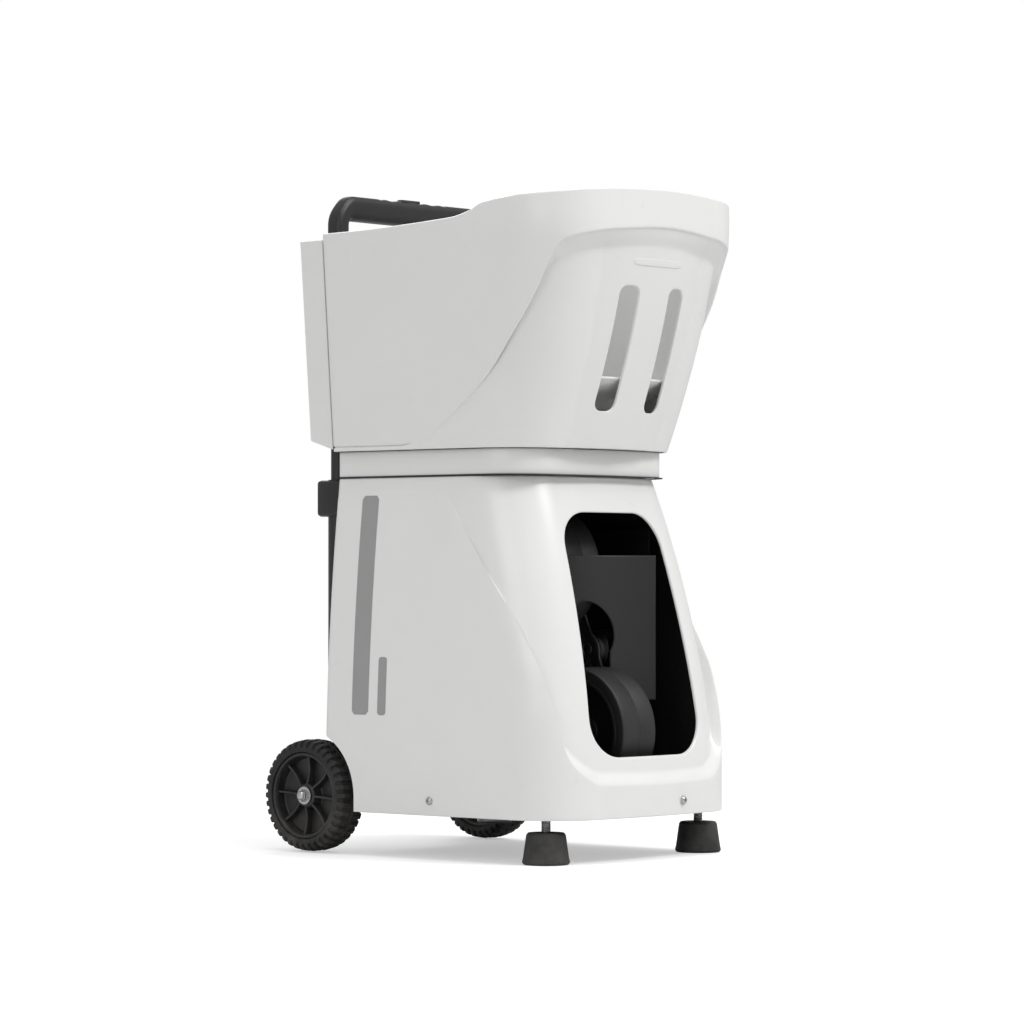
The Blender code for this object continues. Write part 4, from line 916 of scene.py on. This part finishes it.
def buildRearCover():
    # a tray on its edge: five walls of one thickness, edges rounded by a Bevel modifier
    work = bmesh.new()

    def addBlock(inset, near, far, low, high, drop):
        rows = []
        for z in (low, high):
            half = float(hopperHalf(np.array(z))) - cover["narrower"] - inset
            fall = drop if z == low else 0.0
            rows.append([(-half, near, z), (half, near, z),
                         (half, far, z + fall), (-half, far, z + fall)])
        return [[work.verts.new(p) for p in row] for row in rows]

    outer = addBlock(0, cover["near"], cover["far"], cover["low"], cover["high"], cover["drop"])
    inner = addBlock(cover["wall"], cover["near"], cover["far"] - cover["wall"], cover["low"],
                     cover["high"] - cover["wall"], cover["drop"] * 0.9)
    for low, high in (outer, inner[::-1]):
        for first in (1, 2, 3):
            second = (first + 1) % 4
            work.faces.new((low[first], low[second], high[second], high[first]))
    work.faces.new(outer[1])
    work.faces.new(inner[1][::-1])
    for k in (1, 2, 3):
        second = (k + 1) % 4
        work.faces.new((outer[0][second], outer[0][k], inner[0][k], inner[0][second]))
    work.faces.new((outer[1][0], outer[1][1], inner[1][1], inner[1][0]))
    work.faces.new((outer[0][0], outer[1][0], inner[1][0], inner[0][0]))
    work.faces.new((outer[1][1], outer[0][1], inner[0][1], inner[1][1]))
    bmesh.ops.remove_doubles(work, verts=work.verts, dist=1e-6)
    bmesh.ops.recalc_face_normals(work, faces=work.faces)
    mesh = bpy.data.meshes.new("rearCoverShell")
    work.to_mesh(mesh)
    work.free()
    mesh.materials.append(materials["whiteShell"])
    mesh.shade_smooth()
    piece = bpy.data.objects.new("rearCoverShell", mesh)
    bpy.context.scene.collection.objects.link(piece)
    for side in (-1, 1):
        hole = turnedPoints([(0.0, 0.63), (cover["hole"], 0.63), (cover["hole"], 0.70), (0.0, 0.70)],
                            "Z", (side * cover["tubeX"], cover["tubeY"]), 40)
        cutMesh = bpy.data.meshes.new("coverHole")
        cutMesh.from_pydata(hole.reshape(-1, 3).tolist(), [],
                            gridFaces(4, 40, closedColumns=True).tolist())
        cutWork = bmesh.new()
        cutWork.from_mesh(cutMesh)
        bmesh.ops.remove_doubles(cutWork, verts=cutWork.verts, dist=1e-6)
        bmesh.ops.recalc_face_normals(cutWork, faces=cutWork.faces)
        cutWork.to_mesh(cutMesh)
        cutWork.free()
        cutter = bpy.data.objects.new("coverHole", cutMesh)
        bpy.context.scene.collection.objects.link(cutter)
        cut = piece.modifiers.new("hole", "BOOLEAN")
        cut.object = cutter
        cut.operation = "DIFFERENCE"
        bpy.context.view_layer.update()
        evaluated = piece.evaluated_get(bpy.context.evaluated_depsgraph_get())
        done = bpy.data.meshes.new_from_object(evaluated)
        piece.modifiers.remove(cut)
        piece.data = done
        bpy.data.objects.remove(cutter)
    piece.data.shade_smooth()
    bevel = piece.modifiers.new("edges", "BEVEL")
    bevel.width = cover["edge"]
    bevel.segments = 4
    bevel.limit_method = "ANGLE"
    bevel.angle_limit = math.radians(50)
    bevel.harden_normals = True
    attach(piece, "housing")
    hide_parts("hopper_rear_cover")


buildNeck()
buildRearCover()
print("neck and rear cover built")


# trolley wheels
wheel = {
    "centre": (0.1595, 0.061), "lugs": 38, "lugDepth": 0.0027, "ribs": 8, "ribHalf": 0.0013, "steps": 10,
}


def buildTyre(side, word):
    # closed section carried round the axle; lugs rise where a cosine of the angle is high,
    # on the shoulders only, and the two shoulders are half a pitch apart
    section = roundCorners([(0.0470, 0.1235), (0.0470, 0.1605), (0.0535, 0.1617), (0.0590, 0.1575),
                            (0.0605, 0.1480), (0.0605, 0.1360), (0.0590, 0.1265), (0.0535, 0.1223)],
                           [0.0006, 0.0006, 0.003, 0.004, 0.003, 0.003, 0.004, 0.003], 3)
    count = wheel["lugs"] * wheel["steps"]
    closed = np.vstack([section, section[:1]])
    length = np.concatenate([[0], np.cumsum(np.linalg.norm(np.diff(closed, axis=0), axis=1))])
    even = np.linspace(0, length[-1], 96, endpoint=False)
    radius = np.interp(even, length, closed[:, 0])
    across = np.interp(even, length, closed[:, 1])
    angle = np.linspace(0, 2 * np.pi, count, endpoint=False)
    offset = across - 0.142
    slant = 0.55 * np.abs(offset) / 0.02
    phase = wheel["lugs"] * (angle[None, :] + slant[:, None] / wheel["lugs"] * 2)
    phase = phase + np.where(offset > 0, 0.0, np.pi)[:, None]
    lug = np.clip((np.cos(phase) + 0.35) / 0.30, 0, 1)
    lug = lug * lug * (3 - 2 * lug)
    shoulder = (np.clip((np.abs(offset) - 0.0030) / 0.0012, 0, 1)
                * np.clip((radius - 0.0520) / 0.0016, 0, 1))
    centreRib = np.clip((0.0022 - np.abs(offset)) / 0.0008, 0, 1) * (radius > 0.055)
    height = -wheel["lugDepth"] * (1 - lug * shoulder[:, None] - centreRib[:, None] * 0.9)
    height = height * np.clip((radius - 0.0515) / 0.003, 0, 1)[:, None]
    ring = radius[:, None] + height
    inward = np.sign(offset)[:, None] * height * 0.35
    inward = inward * np.clip((np.abs(offset) - 0.014) / 0.004, 0, 1)[:, None]
    x = side * (across[:, None] + inward + 0 * angle)
    points = np.stack([x, wheel["centre"][0] + ring * np.cos(angle),
                       wheel["centre"][1] + ring * np.sin(angle)], axis=2)
    faces = gridFaces(len(even), count, closedRows=True, closedColumns=True)
    addPiece("tyre" + word.capitalize(), points, faces, "tyreRubber", "wheel_" + word,
             replaced=("trolley_tyre_" + word,), slot="black_rubber", sharpAngle=50)


def buildRim(side, word):
    # turned rim, web and hub in one profile, and tapered ribs from the hub to the rim
    profile = [(0.0467, 0.1260), (0.0467, 0.1590), (0.0432, 0.1600), (0.0418, 0.1560), (0.0412, 0.1455),
               (0.0138, 0.1440), (0.0128, 0.1550), (0.0112, 0.1565), (0.0063, 0.1565), (0.0063, 0.1225),
               (0.0130, 0.1225), (0.0138, 0.1390), (0.0412, 0.1400), (0.0430, 0.1262)]
    profile = roundCorners(profile, [0.0006, 0.0012, 0.0012, 0.001, 0.002, 0.002, 0.001, 0.0006, 0.0003,
                                     0.0003, 0.001, 0.002, 0.002, 0.0008], 3)
    placed = np.stack([profile[:, 0], side * profile[:, 1]], axis=1)
    points = turnedPoints(placed, "X", wheel["centre"], 96)
    faces = gridFaces(len(placed), 96, closedRows=True, closedColumns=True)
    allPoints, allFaces, total = [points.reshape(-1, 3)], [faces], points.shape[0] * points.shape[1]
    radii = np.linspace(0.0120, 0.0424, 9)
    crest = 0.1553 - 0.0030 * np.sin(np.linspace(0, np.pi, 9))
    half = wheel["ribHalf"]
    for k in range(wheel["ribs"]):
        turn = 2 * np.pi * k / wheel["ribs"] + math.radians(4)
        section = []
        for r, top in zip(radii, crest):
            outline = roundCorners([(-half * 1.3, 0.1425), (half * 1.3, 0.1425),
                                    (half, top), (-half, top)], [0, 0, 0.0007, 0.0007], 3)
            y = wheel["centre"][0] + r * math.cos(turn) - outline[:, 0] * math.sin(turn)
            z = wheel["centre"][1] + r * math.sin(turn) + outline[:, 0] * math.cos(turn)
            section.append(np.stack([side * outline[:, 1], y, z], axis=1))
        rib = np.stack(section)
        size = rib.shape[1]
        allPoints.append(rib.reshape(-1, 3))
        allFaces.append(gridFaces(len(section), size, closedColumns=True, start=total))
        for row in (0, len(section) - 1):
            ends = total + row * size + np.arange(size)
            fan = [ends[0:1].repeat(size - 2), ends[1:-1], ends[2:], ends[2:]]
            allFaces.append(np.stack(fan, axis=1))
        total += rib.shape[0] * size
    faces = [list(dict.fromkeys(f)) for f in np.concatenate(allFaces).tolist()]
    addPiece("rim" + word.capitalize(), np.concatenate(allPoints), faces, "satinBlack", "wheel_" + word,
             replaced=("trolley_rim_" + word,), slot="black_plastic")


def buildNut(side, word):
    # washer turned round the axle, and a hexagonal domed nut on it
    count = 48
    angle = np.linspace(0, 2 * np.pi, count, endpoint=False)
    hexagon = 0.0058 / np.cos((angle + np.pi / 6) % (np.pi / 3) - np.pi / 6)
    rows = []
    for radius, x, isHex in ((0.0, 0.1573, 0), (0.0095, 0.1573, 0), (0.0097, 0.1577, 0), (0.0097, 0.1585, 0),
                             (0.0094, 0.1588, 0), (0.0060, 0.1588, 0), (0.98, 0.1588, 1), (1.0, 0.1591, 1),
                             (1.0, 0.1622, 1), (0.95, 0.1629, 1), (0.0050, 0.1632, 0), (0.0047, 0.1644, 0),
                             (0.0036, 0.1656, 0), (0.0018, 0.1661, 0), (0.0, 0.1662, 0)):
        ring = hexagon * radius if isHex else np.full(count, radius)
        rows.append(np.stack([np.full(count, side * x), wheel["centre"][0] + ring * np.cos(angle),
                              wheel["centre"][1] + ring * np.sin(angle)], axis=1))
    points = np.stack(rows)
    addPiece("axleNut" + word.capitalize(), points, gridFaces(len(rows), count, closedColumns=True),
             "zincSteel", "housing", replaced=("axle_nut_" + word,), slot="steel")


for sideSign, sideWord in ((-1, "left"), (1, "right")):
    buildTyre(sideSign, sideWord)
    buildRim(sideSign, sideWord)
    buildNut(sideSign, sideWord)
print("wheels built")


# feet
foot = {
    "x": 0.1263, "y": -0.1572, "height": 0.033, "stemTop": 0.067, "stemRadius": 0.0050,
    "threadPitch": 0.0012, "threadDepth": 0.0005,
}


def buildFoot(side, word):
    centre = (side * foot["x"], foot["y"])
    pad = roundCorners([(0.0, 0.0008), (0.0232, 0.0), (0.0250, 0.0022), (0.0238, 0.0075), (0.0206, 0.0305),
                        (0.0188, foot["height"]), (0.0100, foot["height"]), (0.0092, 0.0318), (0.0, 0.0318)],
                       [0, 0.0010, 0.0015, 0.003, 0.0012, 0.001, 0.0004, 0.0004, 0], 4)
    turnedCap("footPad" + word.capitalize(), pad, "Z", centre, 72, "gripRubber", "foot_" + word,
              replaced=("foot_pad_" + word,), slot="black_rubber")
    heights = np.arange(foot["height"] + 0.0003, foot["stemTop"] - 0.001, foot["threadPitch"] / 4)
    wave = foot["threadDepth"] * (0.5 - 0.5 * np.cos(2 * np.pi * heights / foot["threadPitch"]))
    stem = [(0.0, heights[0]), *zip(foot["stemRadius"] - wave, heights),
            (0.0040, foot["stemTop"]), (0.0, foot["stemTop"])]
    turnedCap("footStem" + word.capitalize(), stem, "Z", centre, 28, "zincSteel", "foot_" + word,
              replaced=("foot_stem_" + word,), slot="steel", sharpAngle=60)


for sideSign, sideWord in ((-1, "left"), (1, "right")):
    buildFoot(sideSign, sideWord)
print("feet built")


# handle
handle = {"x": 0.1129, "y": 0.1515, "low": 0.640, "top": 0.712, "barDepth": 0.027, "legWidth": 0.018,
          "half": 0.010, "turn": 0.0195}


def buildHandle():
    # a rounded section carried up one leg, round a corner, along the bar and down the other leg;
    # its width grows smoothly from the legs to the bar
    barMiddle = handle["top"] - handle["barDepth"] / 2
    turn = handle["turn"]
    arc = np.linspace(0, np.pi / 2, 15)
    legs = np.linspace(handle["low"], barMiddle - turn, 8)
    right = np.concatenate([
        np.stack([np.full(8, handle["x"]), legs], axis=1),
        np.stack([handle["x"] - turn + turn * np.cos(arc[1:]), barMiddle - turn + turn * np.sin(arc[1:])],
                 axis=1),
        np.stack([np.linspace(handle["x"] - turn - 0.004, 0, 30), np.full(30, barMiddle)], axis=1)])
    path = np.concatenate([right, (right[:-1] * (-1, 1))[::-1]])
    along = np.gradient(path, axis=0)
    along /= np.linalg.norm(along, axis=1)[:, None]
    across = np.stack([along[:, 1], -along[:, 0]], axis=1)
    spread = np.clip((handle["x"] - 0.004 - np.abs(path[:, 0])) / 0.014, 0, 1)
    spread = spread * spread * (3 - 2 * spread)
    half = (handle["legWidth"] + (handle["barDepth"] - handle["legWidth"]) * spread) / 2
    psi = np.linspace(0, 2 * np.pi, 40, endpoint=False)
    square = (np.abs(np.cos(psi)) ** 4 + np.abs(np.sin(psi)) ** 4) ** -0.25
    u, v = np.cos(psi) * square, np.sin(psi) * square
    finger = np.clip(1 - np.abs(path[:, 0]) / 0.055, 0, 1) ** 0.5
    wave = 0.0011 * (0.5 - 0.5 * np.cos(np.pi * path[:, 0] / 0.011)) * (finger > 0.05)
    reach = half[:, None] * u - wave[:, None] * np.clip(u, 0, 1) ** 2
    x = path[:, :1] + across[:, :1] * reach
    z = path[:, 1:] + across[:, 1:] * reach
    y = handle["y"] + handle["half"] * v + 0 * reach
    points = np.stack([x, y, z], axis=2)
    faces = gridFaces(len(path), 40, closedColumns=True).tolist()
    for row in (0, len(path) - 1):
        faces.append([row * 40 + k for k in range(40)])
    return addPiece("handleHoop", points, faces, "satinBlack", "handle", replaced=("handle_grip",),
                    slot="black_plastic", sharpAngle=50)


buildHandle()
print("handle built")


# throwing head
throw = {"lower": (-0.1115, 0.133), "upper": (-0.0350, 0.3047), "radius": 0.068, "half": 0.027}
shield = {"radius": 0.0997, "centreY": -0.2057, "halfWidth": 0.075, "low": 0.165, "high": 0.320,
          "thick": 0.0025, "port": (0.0, 0.234), "portRadius": 0.037, "slotHalf": 0.0325}


def buildThrowWheel(label):
    centre = throw[label]
    half, radius = throw["half"], throw["radius"]
    tyre = roundCorners([(0.0573, -half), (0.0573, half), (radius - 0.0004, half), (radius, half - 0.004),
                         (radius, 0.0009), (radius - 0.0005, 0.0), (radius, -0.0009), (radius, -half + 0.004),
                         (radius - 0.0004, -half)], [0.0004, 0.0004, 0.0018, 0.002, 0, 0, 0, 0.002, 0.0018], 4)
    turnedPiece(label + "ThrowTyre", tyre, "X", centre, 128, "gripRubber", label + "_throw",
                replaced=(label + "_throw_tyre",), slot="black_rubber")
    hub = roundCorners([(0.0, -0.0427), (0.005, -0.0427), (0.005, -0.030), (0.014, -0.030), (0.014, -0.007),
                        (0.0530, -0.007), (0.0530, -half), (0.0570, -half), (0.0570, half), (0.0530, half),
                        (0.0530, 0.007), (0.014, 0.007), (0.014, 0.030), (0.005, 0.030), (0.005, 0.0427),
                        (0.0, 0.0427)],
                       [0, 0.0006, 0.0005, 0.001, 0.003, 0.003, 0.0008, 0.0008, 0.0008, 0.0008, 0.003, 0.003,
                        0.001, 0.0005, 0.0006, 0], 3)
    turnedCap(label + "ThrowHub", hub, "X", centre, 96, "satinBlack", label + "_throw",
              replaced=(label + "_throw_hub",), slot="black_plastic")


def buildShield():
    # a cylinder's arc by height; cells inside the round port or the wheel slot are dropped, the
    # edge of what is left is moved onto the outline, and Solidify gives the thickness
    halfAngle = math.asin(shield["halfWidth"] / shield["radius"])
    columns = np.linspace(-1, 1, 121)
    rows = np.linspace(shield["low"], shield["high"], 113)
    turn, z = np.meshgrid(columns * halfAngle, rows)
    x = shield["radius"] * np.sin(turn)
    portX, portZ = shield["port"]
    toPort = np.hypot(x - portX, z - portZ)
    inSlot = (np.abs(x) < shield["slotHalf"]) & (z < portZ)
    keep = ~((toPort < shield["portRadius"]) | inSlot)
    cell = keep[:-1, :-1] & keep[:-1, 1:] & keep[1:, :-1] & keep[1:, 1:]
    around = np.zeros(keep.shape, int)  # how many kept cells meet at each point
    for a, b in ((0, 0), (0, 1), (1, 0), (1, 1)):
        around[a:a + cell.shape[0], b:b + cell.shape[1]] += cell
    edge = (around > 0) & (around < 4)
    edge[0, :] = edge[-1, :] = edge[:, 0] = edge[:, -1] = False
    nearPort = edge & (z >= portZ - 0.016)
    scale = shield["portRadius"] / np.maximum(toPort, 1e-9)
    x = np.where(nearPort, portX + (x - portX) * scale, x)
    z = np.where(nearPort, portZ + (z - portZ) * scale, z)
    nearSlot = edge & ~nearPort
    x = np.where(nearSlot, np.sign(x) * shield["slotHalf"], x)
    y = shield["centreY"] + np.sqrt(shield["radius"] ** 2 - x ** 2)
    points = np.stack([x, y, z], axis=2)
    faces = gridFaces(len(rows), len(columns))[cell.ravel()]
    # the shield's near-black colour is partly its dark grey plastic and partly painted shade of the recess
    # behind the window
    piece = addPiece("headShield", points, faces, "greyPanelPaintedShade", "head", replaced=("head_shield",),
                     slot="grey_plastic")
    work = bmesh.new()
    work.from_mesh(piece.data)
    loose = [v for v in work.verts if not v.link_faces]
    bmesh.ops.delete(work, geom=loose, context="VERTS")
    work.faces.ensure_lookup_table()
    if work.faces[0].normal.y > 0:
        bmesh.ops.reverse_faces(work, faces=work.faces)
    work.to_mesh(piece.data)
    work.free()
    wall = piece.modifiers.new("wall", "SOLIDIFY")
    wall.thickness = shield["thick"]
    wall.offset = -1
    return piece


for wheelLabel in ("lower", "upper"):
    buildThrowWheel(wheelLabel)
buildShield()
print("throwing head built")


# screws, printed bars and raised bar
screw = {
    "z": 0.0618, "sideY": -0.021, "frontX": 0.041, "frontZ": 0.0610, "radius": 0.0045, "high": 0.0029,
    "socket": 0.0016, "face": 0.1557, "frontY": -0.2055,
}
bars = {
    "y": (0.0690, 0.0930), "z": (0.150, 0.384), "shortY": (0.0440, 0.0560), "shortZ": (0.150, 0.212),
    "corner": 0.0035, "lift": 0.00012, "sunk": 0.0004,
}
badge = {"x": 0.040, "z": 0.626, "half": 0.0040, "lift": 0.0011}


def screwRows(radius, high, socket, count=36):
    # button head: a dome with a hexagonal hole in its top
    angle = np.linspace(0, 2 * np.pi, count, endpoint=False)
    hexagon = socket / np.cos((angle + np.pi / 6) % (np.pi / 3) - np.pi / 6)
    dome = [(radius * math.cos(t), high * math.sin(t)) for t in np.linspace(0.12, 1.12, 9)]
    rows = [(np.zeros(count), 0.0), (np.full(count, radius), 0.0)]
    rows += [(np.full(count, r), h) for r, h in dome]
    top = dome[-1][1]
    rows += [(hexagon * 1.06, top), (hexagon, top - 0.0002), (hexagon, top - 0.0013),
             (hexagon * 0.2, top - 0.0015), (np.zeros(count), top - 0.0015)]
    ring = np.stack([r for r, h in rows])
    height = np.array([h for r, h in rows])[:, None] + 0 * ring
    return ring * np.cos(angle), ring * np.sin(angle), height


def buildScrews():
    a, b, height = screwRows(screw["radius"], screw["high"], screw["socket"])
    faces = gridFaces(*a.shape, closedColumns=True)
    for side, word in ((-1, "left"), (1, "right")):
        points = np.stack([side * (screw["face"] + height), screw["sideY"] + a, screw["z"] + b], axis=2)
        addPiece("screw" + word.capitalize(), points, faces, "zincSteel", "housing",
                 replaced=("housing_screw_" + word,), slot="steel")
    points = np.stack([screw["frontX"] + a, screw["frontY"] - height, screw["frontZ"] + b], axis=2)
    addPiece("screwFront", points, faces, "zincSteel", "housing", replaced=("housing_screw_front",),
             slot="steel")


def printedBar(name, yRange, zRange, side):
    # a thin closed patch that follows the side panel, with rounded ends
    y = np.linspace(*yRange, 9)
    z = np.linspace(*zRange, 60)
    yy, zz = np.meshgrid(y, z)
    middle, half = sum(yRange) / 2, (yRange[1] - yRange[0]) / 2
    toEnd = np.minimum(zz - zRange[0], zRange[1] - zz)
    near = np.clip(bars["corner"] - toEnd, 0, bars["corner"])
    shrink = bars["corner"] - np.sqrt(np.maximum(bars["corner"] ** 2 - near ** 2, 0))
    yy = middle + (yy - middle) * (half - shrink) / half
    xx = housingHalf(zz)
    layers = [np.stack([side * (xx + lift), yy, zz], axis=2).reshape(-1, 3)
              for lift in (bars["lift"], -bars["sunk"])]
    faces = gridFaces(len(z), len(y))
    size = len(z) * len(y)
    loop = np.concatenate([np.arange(len(y)), np.arange(1, len(z)) * len(y) + len(y) - 1,
                           (len(z) - 1) * len(y) + np.arange(len(y) - 2, -1, -1),
                           np.arange(len(z) - 2, 0, -1) * len(y)])
    wall = np.stack([loop, np.roll(loop, -1), np.roll(loop, -1) + size, loop + size], axis=1)
    addPiece(name, np.concatenate(layers), np.concatenate([faces, faces + size, wall]), "printedGrey",
             "housing", slot="grey_plastic")


def buildRaisedBar():
    # one plain raised bar across the hopper's front, above the slots: a rounded section carried
    # along the front face
    x = badge["x"] * np.sin(np.linspace(-np.pi / 2, np.pi / 2, 41))
    ends = np.sqrt(np.maximum(1 - (np.abs(x) / badge["x"]) ** 8, 0.0))
    psi = np.linspace(0, 2 * np.pi, 28, endpoint=False)
    z = badge["z"] + badge["half"] * ends[:, None] * np.sign(np.sin(psi)) * np.abs(np.sin(psi)) ** 0.5
    lift = badge["lift"] * np.sign(np.cos(psi)) * np.abs(np.cos(psi)) ** 0.5 * ends[:, None]
    q, w = slotParameters(np.stack([(x[:, None] + 0 * z).ravel(), z.ravel()], axis=1))
    surface = hopperOuter(q, w).reshape(len(x), len(psi), 3)
    surface[..., 1] -= lift
    faces = gridFaces(len(x), len(psi), closedColumns=True)
    addPiece("raisedBar", surface, faces, "whiteShell", "housing", slot="white_abs", sharpAngle=60)


buildScrews()
for sideSign, sideWord in ((-1, "Left"), (1, "Right")):
    printedBar("longBar" + sideWord, bars["y"], bars["z"], sideSign)
    printedBar("shortBar" + sideWord, bars["shortY"], bars["shortZ"], sideSign)
buildRaisedBar()
print("screws and bars built")


# pieces kept from the frame: rounded edges and finishes
nodeFinishes = {
    "satinBlack": ("base_tray", "charge_socket", "feeder_deck", "ball_chute", "ball_trough",
                   "axle_bracket_left", "axle_bracket_right", "tube_block_left", "tube_block_right",
                   "feeder_carousel", "power_rocker", "battery_pack"),
    # near-black finish: dark grey plastic with the window recess's painted shade in its colour
    "greyPanelPaintedShade": ("rear_panel", "battery_door", "release_button"),
    "darkLiner": ("side_liner_left", "side_liner_right"),
    "whiteLiner": ("hopper_funnel",),
    "whiteShell": ("speed_button", "feed_button"),
    "plateSteel": ("turntable", "yoke_arm_left", "yoke_arm_right",
                   "cradle_cheek_left", "cradle_cheek_right"),
    "motorCan": ("lower_wheel_motor", "upper_wheel_motor", "pitch_motor", "feeder_motor", "yaw_motor"),
}
plainFinishes = {
    "satinBlack": ("outer_tube_left", "outer_tube_right", "inner_tube_left", "inner_tube_right"),
    "zincSteel": ("trolley_axle",),
    "circuitBoard": ("control_board",),
}
edgeWidths = {"base_tray": 0.0010, "rear_panel": 0.0005, "battery_door": 0.0007, "feeder_carousel": 0.0014,
              "battery_pack": 0.0010, "tube_block_left": 0.0012, "tube_block_right": 0.0012,
              "feeder_motor": 0.0006, "hopper_funnel": 0.0004}
for finish, names in nodeFinishes.items():
    for name in names:
        softenedNode(name, finish, edgeWidths.get(name, 0.0005))
for finish, names in plainFinishes.items():
    for name in names:
        frame["nodes"][name].data.materials.clear()
        frame["nodes"][name].data.materials.append(materials[finish])
print("kept pieces finished")


# floor
def buildFloor():
    # a flat disc, rings of growing radius; its paint fades out with the distance from the middle
    radius = studio["floorFar"] * np.linspace(0, 1, 25) ** 1.5
    angle = np.linspace(0, 2 * np.pi, 64, endpoint=False)
    points = np.stack([radius[:, None] * np.cos(angle), radius[:, None] * np.sin(angle),
                       0 * radius[:, None] * angle - 0.0003], axis=2)
    mesh = bpy.data.meshes.new("studioFloor")
    mesh.from_pydata(points.reshape(-1, 3).tolist(), [], gridFaces(25, 64, closedColumns=True).tolist())
    material = bpy.data.materials.new("floorPaint")
    material.use_nodes = True
    tree = material.node_tree
    shader = tree.nodes["Principled BSDF"]
    place = addNode(tree, "ShaderNodeTexCoord").outputs["Object"]
    cloud = addNode(tree, "ShaderNodeTexNoise", {"Vector": place, "Scale": 3.0, "Detail": 4.0})
    tone = mixColour(tree, cloud.outputs["Fac"], studio["floorColour"], (0.915, 0.915, 0.915, 1))
    tree.links.new(tone, shader.inputs["Base Color"])
    away = addNode(tree, "ShaderNodeVectorMath", {0: place})
    away.operation = "LENGTH"
    fade = addNode(tree, "ShaderNodeMapRange",
                   {"Value": away.outputs["Value"], "From Min": studio["floorNear"],
                    "From Max": studio["floorFar"] * 0.95, "To Min": 1.0, "To Max": 0.0})
    fade.interpolation_type = "SMOOTHSTEP"
    tree.links.new(fade.outputs["Result"], shader.inputs["Alpha"])
    shader.inputs["Roughness"].default_value = 0.7
    shader.inputs["Emission Color"].default_value = (1, 1, 1, 1)
    seenRay = addNode(tree, "ShaderNodeLightPath")  # the glow whitens the floor and lights nothing
    tree.links.new(mathNode(tree, "MULTIPLY", seenRay.outputs["Is Camera Ray"], studio["floorGlow"]),
                   shader.inputs["Emission Strength"])
    mesh.materials.append(material)
    floor = bpy.data.objects.new("studioFloor", mesh)
    bpy.context.scene.collection.objects.link(floor)


buildFloor()
print("floor laid")
